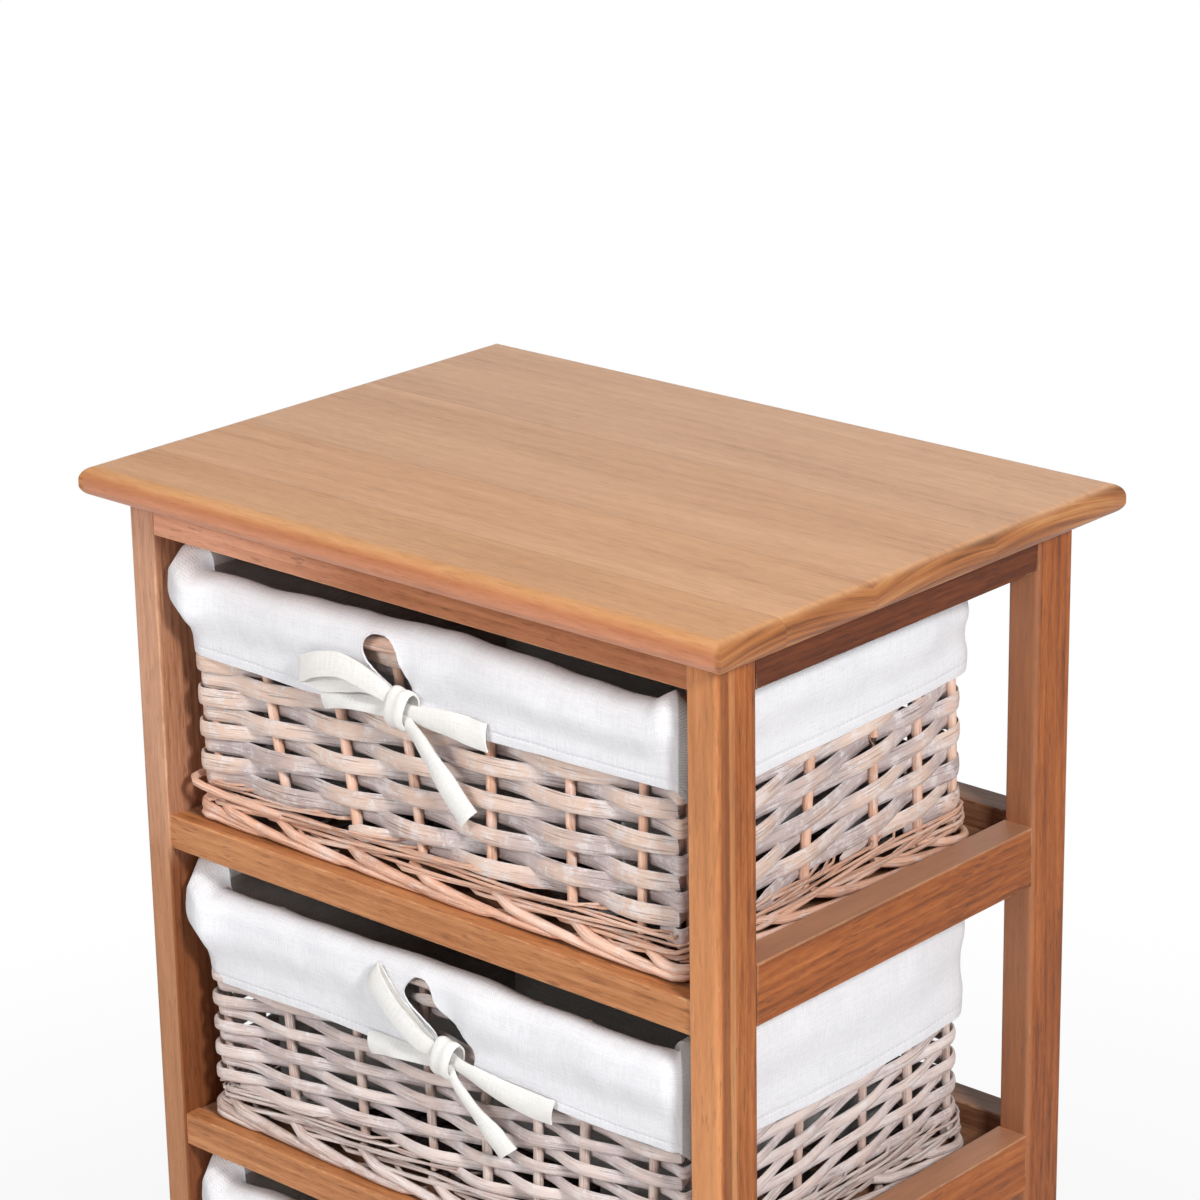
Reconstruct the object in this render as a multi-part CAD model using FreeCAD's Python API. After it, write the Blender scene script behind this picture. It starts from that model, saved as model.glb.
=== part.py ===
import FreeCAD, Part
import math
import os

# Basket drawer unit: a wooden frame with three shelves, and a lined wicker basket as a drawer on each.
# Millimetres. X runs along the front, the front faces -Y, Z is up, the floor is at zero.
V = FreeCAD.Vector

# Frame sizes
top_width = 400.0
top_depth = 290.0
top_thickness = 14.0
top_side_overhang = 16.0
top_front_overhang = 16.0
top_rear_overhang = 18.0
top_upper_round_width = 6.8
top_lower_round_width = 3.2
top_widest_height_share = 0.5
shelf_count = 3
post_depth = 27.0
post_round = 3.0
board_thickness = 17.0
board_ease = 1.0
rail_inset = 1.0
leg_height = 46.5
bay_height = 143.5
front_rail_height = 17.0
side_rail_height = 30.0
front_apron_height = 18.0
side_apron_height = 21.5

# Shelf panel sizes
panel_thickness = 6.0
panel_rebate_depth = 8.0
panel_groove_depth = 5.0
panel_clearance = 0.2

# Fastener sizes
dowel_radius = 3.0
dowel_in_rail = 18.0
dowel_in_post = 11.0
dowel_clearance = 0.1
screw_radius = 2.0
screw_head_radius = 4.0
screw_head_height = 2.6
screw_bite = 9.0
screw_recess_width = 1.0
screw_recess_length = 4.6
screw_recess_depth = 1.4
screw_spacing_share = 0.6
glide_radius = 7.0
glide_height = 3.0
glide_ease = 0.8
glide_nail_radius = 1.2
glide_nail_length = 12.0

# Basket sizes: the bay gives the width, depth and height, less these clearances around the cloth
basket_side_clearance = 5.5
basket_rear_clearance = 6.0
basket_head_clearance = 12.7
basket_corner = 17.0
basket_front_setback = 8.0
weave_thickness = 9.0
foot_height = 14.0
foot_proud = 3.0
wale_height = 6.0
wale_proud = 1.5
rim_height = 16.0
rim_proud = 6.0
rim_round = 4.0
base_thickness = 5.0
base_lift = 9.0
hand_hole_width = 90.0
hand_hole_height = 22.0
seat_clearance = 0.3

# Weave sizes, with one entry per basket from the top: stakes stand at shares of their side's half length
# from its middle, walking round to the right, and the rows rise to the right and to the rear
weave_rows = [11, 14, 12]
weave_recess = 6.4
stake_radius = 2.4
binding_height = 1.2
binding_proud = 0.5
front_rise_share = 0.05
side_rise_share = 0.148
row_start_shares = [1.37, 0.6, 0.27]
even_spread_share = 0.9
stake_shares = [
    {
        "front": [-0.95, -0.69, -0.38, -0.10, 0.24, 0.56, 0.84],
        "right": [-0.88, -0.50, -0.12, 0.32, 0.62, 0.89],
    },
    {
        "front": [-0.97, -0.68, -0.37, -0.06, 0.18, 0.40, 0.59, 0.86],
        "right": [-0.88, -0.53, -0.18, 0.25, 0.57, 0.87],
    },
    {
        "front": [-0.92, -0.63, -0.33, -0.05, 0.25, 0.55, 0.86],
        "right": [-0.86, -0.52, -0.16, 0.22, 0.56, 0.88],
    },
]

# Liner and tie sizes, with one entry per basket from the top where the baskets differ
cloth_thickness = 1.2
cloth_clearance = 0.3
flap_lengths = [41.0, 56.0, 48.0]
slot_offsets = [-20.0, -6.0, -12.0]
slot_top_gaps = [5.0, 11.0, 8.0]
slot_radius = 10.0
slot_foot_width = 5.0
tape_width = 13.0
tape_thickness = 2.4
tape_round_share = 0.4
knot_width = 13.0
knot_height = 20.0
knot_depth = 8.0
knot_round = 2.5
knot_offsets = [9.0, 17.0, 10.0]
knot_lifts = [2.0, 9.0, 4.0]
loop_lengths = [65.0, 51.0, 60.0]
side_end_lengths = [54.0, 54.0, 50.0]
tail_lengths = [51.0, 65.0, 56.0]
drop_lengths = [60.0, 53.0, 62.0]
tape_angles = [
    {"loop": 175.0, "side_end": 188.0, "tail": -4.0, "drop": -53.0},
    {"loop": 145.0, "side_end": 190.0, "tail": -7.0, "drop": -49.0},
    {"loop": 165.0, "side_end": 196.0, "tail": -12.0, "drop": -58.0},
]

# One overrun serves every through cut, and an edge this near to an axis, in degrees, runs along it
overrun = 1.0
parallel_angle = 1.0
diagonal_share = math.sqrt(0.5)

# Places worked out from the sizes
post_x = top_width / 2 - top_side_overhang
inner_x = post_x - board_thickness
front_y = -top_depth / 2 + top_front_overhang
rear_y = top_depth / 2 - top_rear_overhang
front_post_back = front_y + post_depth
rear_post_front = rear_y - post_depth
front_rail_y = front_y + rail_inset
front_rail_back = front_rail_y + board_thickness
rear_rail_back = rear_y - rail_inset
rear_rail_y = rear_rail_back - board_thickness
side_rail_x = post_x - rail_inset
side_rail_inner = side_rail_x - board_thickness
shelf_pitch = front_rail_height + bay_height
apron_z = leg_height + shelf_count * shelf_pitch
top_z = apron_z + front_apron_height
total_height = top_z + top_thickness
shelf_levels = [leg_height + (shelf_count - 1 - k) * shelf_pitch for k in range(shelf_count)]


def box(x0, x1, y0, y1, z0, z1):
    return Part.makeBox(x1 - x0, y1 - y0, z1 - z0, V(x0, y0, z0))


def fuse(shapes):
    return shapes[0].multiFuse(shapes[1:]).removeSplitter()


def save(name, solids):
    shape = solids[0] if len(solids) == 1 else Part.makeCompound(solids)
    shape.exportStep(os.path.join("parts", name + ".step"))
    bad = [s for s in shape.Solids if not s.isValid()]
    print(name, len(shape.Solids), round(shape.Volume, 1), "not valid" if bad else "")


def long_edges(shape, axis):
    """The straight edges of a shape that run along one axis, 0 for X, 1 for Y and 2 for Z."""
    found = []
    for edge in shape.Edges:
        run = edge.lastVertex().Point - edge.firstVertex().Point
        if run.Length > 0 and abs(run[axis]) / run.Length > math.cos(math.radians(parallel_angle)):
            found.append(edge)
    return found


# Top panel: two rounded edge profiles, run along the width and along the depth, share one solid
def edge_profile(half):
    """The outline of the panel's section, from its left edge to its right, with its corners rounded."""
    widest = top_z + top_thickness * top_widest_height_share
    top = top_z + top_thickness
    bow = diagonal_share

    def side(sign):
        out = sign * half
        low = sign * (half - top_lower_round_width)
        high = sign * (half - top_upper_round_width)
        mid_low = V(low + (out - low) * bow, 0, widest - (widest - top_z) * bow)
        mid_high = V(high + (out - high) * bow, 0, widest + (top - widest) * bow)
        lower = Part.Arc(V(low, 0, top_z), mid_low, V(out, 0, widest))
        upper = Part.Arc(V(out, 0, widest), mid_high, V(high, 0, top))
        return lower, upper

    right_low, right_high = side(1)
    left_low, left_high = side(-1)
    lines = [
        Part.LineSegment(left_low.StartPoint, right_low.StartPoint),
        Part.LineSegment(left_high.EndPoint, right_high.EndPoint),
    ]
    edges = [c.toShape() for c in [right_low, right_high, left_low, left_high] + lines]
    return Part.Face(Part.Wire(Part.__sortEdges__(edges)))


def top_panel():
    along_depth = edge_profile(top_width / 2)
    along_depth.translate(V(0, -top_depth / 2, 0))
    along_depth = along_depth.extrude(V(0, top_depth, 0))
    along_width = edge_profile(top_depth / 2)
    along_width.rotate(V(0, 0, 0), V(0, 0, 1), 90)
    along_width.translate(V(-top_width / 2, 0, 0))
    along_width = along_width.extrude(V(top_width, 0, 0))
    return along_depth.common(along_width)


# Dowels: a peg of one radius, and the longer hole that takes it
def peg(point, direction, grow=0.0):
    """A peg across a joint at point: direction runs from the rail into the post."""
    length = dowel_in_rail + dowel_in_post + 2 * grow
    start = point - direction * (dowel_in_rail + grow)
    return Part.makeCylinder(dowel_radius + grow, length, start, direction)


def cross_dowels(y, heights):
    """The pegs at both ends of a board that runs along X."""
    return [(V(s * inner_x, y, z), V(s, 0, 0)) for s in (-1, 1) for z in heights]


def side_dowels(sign, heights):
    """The pegs at both ends of a board that runs along Y, on the left or on the right."""
    x = sign * (side_rail_x - board_thickness / 2)
    ends = [(front_post_back, V(0, -1, 0)), (rear_post_front, V(0, 1, 0))]
    return [(V(x, y, z), way) for y, way in ends for z in heights]


# Low dowels sit under the shelf panel's edge, high ones above it, and an apron's in its middle
low_dowel = (front_rail_height - panel_thickness) / 2
high_dowel = (front_rail_height + side_rail_height) / 2
front_dowel_y = front_rail_y + board_thickness / 2
rear_dowel_y = rear_rail_back - board_thickness / 2
apron_dowel_z = top_z - front_apron_height / 2
side_apron_z = top_z - side_apron_height
front_pegs = [cross_dowels(front_dowel_y, [z + low_dowel]) for z in shelf_levels]
front_pegs.append(cross_dowels(front_dowel_y, [apron_dowel_z]))
rear_pegs = [cross_dowels(rear_dowel_y, [z + low_dowel, z + high_dowel]) for z in shelf_levels]
rear_pegs.append(cross_dowels(rear_dowel_y, [apron_dowel_z]))
side_pegs = {}
for sign in (-1, 1):
    side_pegs[sign] = [side_dowels(sign, [z + low_dowel, z + high_dowel]) for z in shelf_levels]
    side_pegs[sign].append(side_dowels(sign, [top_z - side_apron_height / 2]))


def drilled(shape, pegs):
    return shape.cut([peg(point, way, dowel_clearance) for point, way in pegs])


def flat(groups):
    return [item for group in groups for item in group]


# Top screws: places along each apron, with the countersunk hole that takes each one
def screw_places():
    span_x = inner_x * screw_spacing_share
    span_y = (rear_post_front - front_post_back) / 2 * screw_spacing_share
    middle_y = (rear_post_front + front_post_back) / 2
    places = []
    for sign in (-1, 1):
        places.append((V(sign * span_x, front_rail_y + board_thickness / 2, apron_z), "front"))
        places.append((V(sign * span_x, rear_rail_back - board_thickness / 2, apron_z), "rear"))
        for name, side in (("left", -1), ("right", 1)):
            x = side * (side_rail_x - board_thickness / 2)
            places.append((V(x, middle_y + sign * span_y, side_apron_z), name))
    return places


def screw(place, grow=0.0):
    """A countersunk screw that stands in an apron and bites into the top."""
    up = V(0, 0, 1)
    length = top_z - place.z + screw_bite + grow
    shank = Part.makeCylinder(screw_radius + grow, length, place, up)
    head = Part.makeCone(screw_head_radius + grow, screw_radius + grow, screw_head_height, place, up)
    return fuse([shank, head])


def recessed(shape, place):
    """Cuts the driver's cross into a screw's head."""
    half_long = screw_recess_length / 2
    half_wide = screw_recess_width / 2
    low, high = place.z - overrun, place.z + screw_recess_depth
    bars = []
    for along_x, along_y in ((half_long, half_wide), (half_wide, half_long)):
        bars.append(
            box(place.x - along_x, place.x + along_x, place.y - along_y, place.y + along_y, low, high)
        )
    return shape.cut(bars)


screws = screw_places()


def screw_holes(apron):
    return [screw(place, dowel_clearance) for place, name in screws if name == apron]


# Posts: a flat board on edge, rounded on its outer corners, with the dowel and nail holes
def glide_place(sign, post_front):
    return V(sign * (post_x - board_thickness / 2), post_front + post_depth / 2, 0)


def post(sign, post_front):
    x0, x1 = sorted((sign * post_x, sign * inner_x))
    shape = box(x0, x1, post_front, post_front + post_depth, glide_height, top_z)
    outer = [e for e in long_edges(shape, 2) if abs(e.firstVertex().Point.x) > post_x - board_thickness / 2]
    shape = shape.makeFillet(post_round, outer)
    inner = [e for e in long_edges(shape, 2) if abs(e.firstVertex().Point.x) < inner_x + board_ease]
    shape = shape.makeFillet(board_ease, inner)
    cross = flat(front_pegs if post_front == front_y else rear_pegs)
    end_y = front_post_back if post_front == front_y else rear_post_front
    pegs = [(p, way) for p, way in cross if way.x == sign]
    pegs += [(p, way) for p, way in flat(side_pegs[sign]) if p.y == end_y]
    shape = drilled(shape, pegs)
    nail_length = glide_nail_length + dowel_clearance
    start = glide_place(sign, post_front) + V(0, 0, glide_height)
    return shape.cut(Part.makeCylinder(glide_nail_radius + dowel_clearance, nail_length, start))


def foot_glide(sign, post_front):
    """A domed disc under a post, with the nail that holds it."""
    place = glide_place(sign, post_front)
    disc = Part.makeCylinder(glide_radius, glide_height, place)
    rim = [e for e in disc.Edges if e.BoundBox.ZMax < glide_height / 2]
    disc = disc.makeFillet(glide_ease, rim)
    nail = Part.makeCylinder(glide_nail_radius, glide_height + glide_nail_length, place)
    return fuse([disc, nail])


# Rails and aprons: eased boards between the posts
def cross_board(y, z, height):
    shape = box(-inner_x, inner_x, y, y + board_thickness, z, z + height)
    return shape.makeFillet(board_ease, long_edges(shape, 0))


def side_board(sign, z, height):
    x0, x1 = sorted((sign * side_rail_x, sign * side_rail_inner))
    shape = box(x0, x1, front_post_back, rear_post_front, z, z + height)
    return shape.makeFillet(board_ease, long_edges(shape, 1))


def apron_board(y, name, pegs):
    shape = box(-inner_x, inner_x, y, y + board_thickness, apron_z, top_z)
    low = [e for e in long_edges(shape, 0) if e.BoundBox.ZMax < apron_z + board_ease]
    return drilled(shape.makeFillet(board_ease, low), pegs).cut(screw_holes(name))


def side_apron_board(sign, name):
    x0, x1 = sorted((sign * side_rail_x, sign * side_rail_inner))
    shape = box(x0, x1, front_post_back, rear_post_front, side_apron_z, top_z)
    low = [e for e in long_edges(shape, 1) if e.BoundBox.ZMax < side_apron_z + board_ease]
    return drilled(shape.makeFillet(board_ease, low), side_pegs[sign][-1]).cut(screw_holes(name))


# Shelf: a panel let into a rebate at the front and into grooves at the sides and the rear
def panel_span(z):
    return z + front_rail_height - panel_thickness, z + front_rail_height


def front_rail(level):
    z = shelf_levels[level]
    low, high = panel_span(z)
    shape = box(-inner_x, inner_x, front_rail_y, front_rail_back, z, high)
    fronts = [e for e in long_edges(shape, 0) if e.BoundBox.YMax < front_rail_y + board_ease]
    shape = shape.makeFillet(board_ease, fronts)
    rebate = box(
        -inner_x - overrun,
        inner_x + overrun,
        front_rail_back - panel_rebate_depth,
        front_rail_back + overrun,
        low,
        high + overrun,
    )
    return drilled(shape.cut(rebate), front_pegs[level])


def rear_rail(level):
    z = shelf_levels[level]
    low, high = panel_span(z)
    groove = box(
        -inner_x - overrun,
        inner_x + overrun,
        rear_rail_y - overrun,
        rear_rail_y + panel_groove_depth,
        low,
        high,
    )
    return drilled(cross_board(rear_rail_y, z, side_rail_height).cut(groove), rear_pegs[level])


def side_rail(level, sign):
    z = shelf_levels[level]
    low, high = panel_span(z)
    x0, x1 = sorted((sign * (side_rail_inner - overrun), sign * (side_rail_inner + panel_groove_depth)))
    groove = box(x0, x1, front_post_back - overrun, rear_post_front + overrun, low, high)
    return drilled(side_board(sign, z, side_rail_height).cut(groove), side_pegs[sign][level])


def shelf_panel(level):
    low, high = panel_span(shelf_levels[level])
    half = side_rail_inner - panel_clearance
    tongue = side_rail_inner + panel_groove_depth - panel_clearance
    front = front_rail_back - panel_rebate_depth + panel_clearance
    rear = rear_rail_y + panel_groove_depth - panel_clearance
    main = box(-half, half, front, rear, low, high)
    tongue_front = front_post_back + panel_clearance
    tongue_rear = rear_post_front - panel_clearance
    wide = box(-tongue, tongue, tongue_front, tongue_rear, low, high)
    return fuse([main, wide])


# Baskets: rings of one rounded plan, stacked from the foot to the rim
cloth_over_rim = rim_proud + cloth_clearance + cloth_thickness
wall_x = side_rail_inner - basket_side_clearance - cloth_over_rim
wall_front = front_y + basket_front_setback + foot_proud
wall_rear = rear_rail_y - basket_rear_clearance - cloth_over_rim
plan_y = (wall_front + wall_rear) / 2
basket_depth = wall_rear - wall_front
basket_height = bay_height - seat_clearance - basket_head_clearance - cloth_clearance - cloth_thickness


def plan(grow, z):
    """The basket's rounded plan as a wire at one height, grown or shrunk from the wall's outer face."""
    half_x, half_y = wall_x + grow, basket_depth / 2 + grow
    radius = basket_corner + grow
    flat_x, flat_y = half_x - radius, half_y - radius
    bow = radius * diagonal_share
    edges = []
    corners = [(1, -1), (1, 1), (-1, 1), (-1, -1)]
    points = []
    for sx, sy in corners:
        centre = V(sx * flat_x, plan_y + sy * flat_y, z)
        on_x = centre + V(sx * radius, 0, 0)
        on_y = centre + V(0, sy * radius, 0)
        start, end = (on_y, on_x) if sx * sy < 0 else (on_x, on_y)
        edges.append(Part.Arc(start, centre + V(sx * bow, sy * bow, 0), end).toShape())
        points.append((start, end))
    for k, (start, end) in enumerate(points):
        following = points[(k + 1) % len(points)][0]
        edges.append(Part.LineSegment(end, following).toShape())
    return Part.Wire(Part.__sortEdges__(edges))


def plan_solid(grow, z0, z1):
    return Part.Face(plan(grow, z0)).extrude(V(0, 0, z1 - z0))


def ring(out, inside, z0, z1):
    return plan_solid(out, z0, z1).cut(plan_solid(inside, z0, z1))


# The cloth's outermost face at the front, and its innermost
flap_face = wall_front - cloth_over_rim
bag_face = wall_front + weave_thickness + cloth_clearance + cloth_thickness


def of_basket(values, level):
    """A list's entry for one basket: the list starts again if there are more baskets."""
    return values[level % len(values)]


def basket_floor(level):
    return shelf_levels[level] + front_rail_height + seat_clearance


# Weave: rods that pass before one stake and behind the next, and their neighbours the other way
flat_x = wall_x - basket_corner
flat_y = basket_depth / 2 - basket_corner
corner_run = basket_corner * math.pi / 2
plan_run = 4 * (flat_x + flat_y + corner_run)


def plan_point(run, out):
    """A point beside the wall's outer face: run goes along it from the front's left end to the right."""
    run %= plan_run
    for quarter in range(4):
        along, reach = (flat_x, flat_y) if quarter % 2 == 0 else (flat_y, flat_x)
        if run <= 2 * along + corner_run:
            break
        run -= 2 * along + corner_run
    turn = max(0.0, run - 2 * along) / basket_corner
    bend = basket_corner + out
    point = V(min(run, 2 * along) - along + bend * math.sin(turn), -reach - bend * math.cos(turn), 0)
    return FreeCAD.Rotation(V(0, 0, 1), 90 * quarter).multVec(point) + V(0, plan_y, 0)


def even_shares(count):
    return [even_spread_share * ((2 * k + 1) / count - 1) for k in range(count)]


def stake_runs(level):
    """How far along the plan each stake of a basket stands, in order."""
    shares = of_basket(stake_shares, level)
    sides = [shares["front"], shares["right"]]
    sides += [even_shares(len(side)) for side in sides]
    runs = []
    start = 0.0
    for k, side in enumerate(sides):
        along, half = (flat_x, wall_x) if k % 2 == 0 else (flat_y, basket_depth / 2)
        runs += [(start + along + half * share) % plan_run for share in side]
        start += 2 * along + corner_run
    return sorted(runs)


def woven_line(runs, phase):
    """The line of one row's outer face, before every second stake and behind the others, two arcs a gap."""
    arcs = []
    for k, run in enumerate(runs):
        following = runs[k + 1] if k + 1 < len(runs) else runs[0] + plan_run
        sign = 1 if (k + phase) % 2 == 0 else -1
        points = []
        for step in range(5):
            swing = sign * math.cos(math.pi * step / 4)
            points.append(plan_point(run + (following - run) * step / 4, weave_recess * (swing - 1) / 2))
        arcs += [Part.Arc(*points[:3]).toShape(), Part.Arc(*points[2:]).toShape()]
    return Part.Wire(arcs)


def row_slab(z, pitch):
    """The slanting slice of the wall that one row fills: z is its underside at the middle of the plan."""
    half_x, half_y = wall_x + overrun, basket_depth / 2 + overrun
    corners = []
    for sx, sy in ((-1, -1), (1, -1), (1, 1), (-1, 1), (-1, -1)):
        rise = front_rise_share * sx * half_x + side_rise_share * sy * half_y
        corners.append(V(sx * half_x, plan_y + sy * half_y, z + rise))
    return Part.Face(Part.makePolygon(corners)).extrude(V(0, 0, pitch))


def woven_wall(level, z0, z1):
    """The wall from the wale to the rim: rows that swing by turns, stakes, and a binding at both ends."""
    pitch = (z1 - z0) / of_basket(weave_rows, level)
    runs = stake_runs(level)
    climb = front_rise_share * wall_x + side_rise_share * basket_depth / 2
    spare = math.ceil(climb / pitch) + math.ceil(of_basket(row_start_shares, level)) + 1
    slabs = [[], []]
    for row in range(-spare, of_basket(weave_rows, level) + spare):
        low = z0 + pitch * (row + of_basket(row_start_shares, level))
        slabs[row % 2].append(row_slab(low, pitch))
    inner = -weave_thickness
    inside = plan_solid(inner, z0, z1)
    pieces = [ring(binding_proud, inner, z, z + binding_height) for z in (z0, z1 - binding_height)]
    for phase in (0, 1):
        line = woven_line(runs, phase)
        line.translate(V(0, 0, z0))
        body = Part.Face(line).extrude(V(0, 0, z1 - z0)).cut(inside)
        pieces += body.common(slabs[phase]).Solids
    for run in runs:
        foot = plan_point(run, -weave_thickness / 2) + V(0, 0, z0)
        pieces.append(Part.makeCylinder(stake_radius, z1 - z0, foot))
    return fuse(pieces)


def basket_pieces(level):
    """The foot, wale, wall, rim and base of one basket, each resting face to face on the one below."""
    z = basket_floor(level)
    inside = -weave_thickness
    foot_top = z + foot_height
    wale_top = foot_top + wale_height
    rim_top = z + basket_height
    rim_z = rim_top - rim_height
    wall = woven_wall(level, wale_top, rim_z)
    hole_half = hand_hole_width / 2
    hole_z = rim_z - hand_hole_height
    hole_front = wall_front - overrun
    hole_rear = wall_front + weave_thickness + overrun
    hole = box(-hole_half, hole_half, hole_front, hole_rear, hole_z, rim_z)
    rim = crowned(rim_proud, rim_z, rim_top, rim_round).cut(plan_solid(inside, rim_z, rim_top))
    return {
        "foot": ring(foot_proud, inside, z, foot_top),
        "wale": ring(wale_proud, inside, foot_top, wale_top),
        "wall": wall.cut(hole),
        "rim": rim,
        "base": plan_solid(inside, z + base_lift, z + base_lift + base_thickness),
    }


def crowned(grow, z0, z1, radius):
    """A solid of the basket's plan with its upper edge rounded."""
    shape = plan_solid(grow, z0, z1)
    return shape.makeFillet(radius, [e for e in shape.Edges if e.BoundBox.ZMin > z1 - radius])


def knot_x(level):
    return of_basket(slot_offsets, level) + of_basket(knot_offsets, level)


def slot(level, hem_z, top):
    """The teardrop cut in the liner's front: round above, leaning and drawn together to the tie."""
    centre_z = top - of_basket(slot_top_gaps, level) - slot_radius
    centre = V(of_basket(slot_offsets, level), 0, centre_z)
    half = slot_foot_width / 2
    start, end = centre + V(-slot_radius, 0, 0), centre + V(slot_radius, 0, 0)
    foot_left = V(knot_x(level) - half, 0, hem_z - overrun)
    foot_right = V(knot_x(level) + half, 0, hem_z - overrun)
    crown = Part.Arc(start, centre + V(0, 0, slot_radius), end)
    sides = [(end, foot_right), (foot_right, foot_left), (foot_left, start)]
    edges = [crown.toShape()] + [Part.LineSegment(a, b).toShape() for a, b in sides]
    face = Part.Face(Part.Wire(Part.__sortEdges__(edges)))
    face.translate(V(0, flap_face - overrun, 0))
    return face.extrude(V(0, bag_face - flap_face + 2 * overrun, 0))


def liner(level):
    """A cloth bag inside the basket, folded over the rim, with a flap that hangs outside."""
    z = basket_floor(level)
    bag = -weave_thickness - cloth_clearance
    crown = basket_height + cloth_clearance
    top = z + crown + cloth_thickness
    hem_z = top - of_basket(flap_lengths, level)
    out = rim_proud + cloth_clearance
    under_round = rim_round + cloth_clearance
    outer = crowned(out + cloth_thickness, hem_z, top, under_round + cloth_thickness)
    fold = outer.cut(crowned(out, hem_z, z + crown, under_round))
    floor = z + base_lift + base_thickness + cloth_clearance
    skin = plan_solid(bag, floor, top - cloth_thickness)
    hollow = plan_solid(bag - cloth_thickness, floor + cloth_thickness, top + overrun)
    return fuse([fold, skin]).cut([hollow, slot(level, hem_z, top)])


def strap(length, angle, knot, forward):
    """A flat length of tape that leaves the knot at an angle, in front of the flap."""
    half_width, half_thick = tape_width / 2, tape_thickness / 2
    shape = box(0, length, -half_thick, half_thick, -half_width, half_width)
    shape = shape.makeFillet(tape_thickness * tape_round_share, long_edges(shape, 0))
    shape.rotate(V(0, 0, 0), V(0, 1, 0), -angle)
    shape.translate(knot + V(0, forward, 0))
    return shape


def tie(level):
    """A bow: a knot with a folded loop and a short end to the left, and two long ends to the right."""
    top = basket_floor(level) + basket_height + cloth_clearance + cloth_thickness
    hem_z = top - of_basket(flap_lengths, level)
    knot_y = flap_face - cloth_clearance - knot_depth / 2
    knot = V(knot_x(level), knot_y, hem_z + of_basket(knot_lifts, level))
    body = box(
        knot.x - knot_width / 2,
        knot.x + knot_width / 2,
        knot.y - knot_depth / 2,
        knot.y + knot_depth / 2,
        knot.z - knot_height / 2,
        knot.z + knot_height / 2,
    )
    body = body.makeFillet(knot_round, body.Edges)
    step = (knot_depth - tape_thickness) / 2 - cloth_clearance
    angles = of_basket(tape_angles, level)
    loop_length = of_basket(loop_lengths, level)
    straps = [
        strap(loop_length, angles["loop"], knot, -step),
        strap(loop_length, angles["loop"], knot, step - tape_thickness),
        strap(of_basket(side_end_lengths, level), angles["side_end"], knot, step),
        strap(of_basket(tail_lengths, level), angles["tail"], knot, step),
        strap(of_basket(drop_lengths, level), angles["drop"], knot, -step),
    ]
    return fuse([body] + straps)


os.makedirs("parts", exist_ok=True)
save("top_panel", [top_panel().cut([screw(place, dowel_clearance) for place, name in screws])])
for name, sign, post_front in (
    ("front_left", -1, front_y),
    ("front_right", 1, front_y),
    ("rear_left", -1, rear_post_front),
    ("rear_right", 1, rear_post_front),
):
    save("post_" + name, [post(sign, post_front)])
save("apron_front", [apron_board(front_rail_y, "front", front_pegs[-1])])
save("apron_rear", [apron_board(rear_rail_y, "rear", rear_pegs[-1])])
save("apron_left", [side_apron_board(-1, "left")])
save("apron_right", [side_apron_board(1, "right")])
for level in range(shelf_count):
    shelf = "shelf_%d_" % (level + 1)
    save(shelf + "front_rail", [front_rail(level)])
    save(shelf + "rear_rail", [rear_rail(level)])
    save(shelf + "left_rail", [side_rail(level, -1)])
    save(shelf + "right_rail", [side_rail(level, 1)])
    save(shelf + "panel", [shelf_panel(level)])
save("front_rail_dowels", [peg(point, way) for point, way in flat(front_pegs)])
save("rear_rail_dowels", [peg(point, way) for point, way in flat(rear_pegs)])
save("side_rail_dowels", [peg(point, way) for sign in (-1, 1) for point, way in flat(side_pegs[sign])])
save("top_screws", [recessed(screw(place), place) for place, name in screws])
save("foot_glides", [foot_glide(s, y) for s in (-1, 1) for y in (front_y, rear_post_front)])
for level in range(shelf_count):
    number = "_%d" % (level + 1)
    for piece, shape in basket_pieces(level).items():
        save("basket" + number + "_" + piece, [shape])
    save("liner" + number, [liner(level)])
    save("tie" + number, [tie(level)])
print("height", total_height)
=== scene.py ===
import math
import random
import bpy
import numpy as np
from mathutils import Matrix, Vector, noise


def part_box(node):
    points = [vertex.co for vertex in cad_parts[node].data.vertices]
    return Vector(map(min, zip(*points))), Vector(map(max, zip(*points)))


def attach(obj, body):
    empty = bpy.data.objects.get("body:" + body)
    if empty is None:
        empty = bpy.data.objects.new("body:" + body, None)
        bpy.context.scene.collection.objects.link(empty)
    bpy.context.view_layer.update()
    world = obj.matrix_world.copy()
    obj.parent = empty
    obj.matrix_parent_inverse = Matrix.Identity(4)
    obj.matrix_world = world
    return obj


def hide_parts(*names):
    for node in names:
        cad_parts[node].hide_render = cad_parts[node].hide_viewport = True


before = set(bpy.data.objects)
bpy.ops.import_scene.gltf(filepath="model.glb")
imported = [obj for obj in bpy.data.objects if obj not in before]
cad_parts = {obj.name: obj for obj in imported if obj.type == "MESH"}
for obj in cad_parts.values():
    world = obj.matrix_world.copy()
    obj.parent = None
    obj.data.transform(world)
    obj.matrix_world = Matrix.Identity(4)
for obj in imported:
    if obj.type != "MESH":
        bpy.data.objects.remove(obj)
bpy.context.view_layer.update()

# The looks of the basket drawer unit. Metres. The front faces -Y, X runs along it, Z is up.
chance = random.Random(7)
baskets = ("basket_1", "basket_2", "basket_3")

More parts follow.
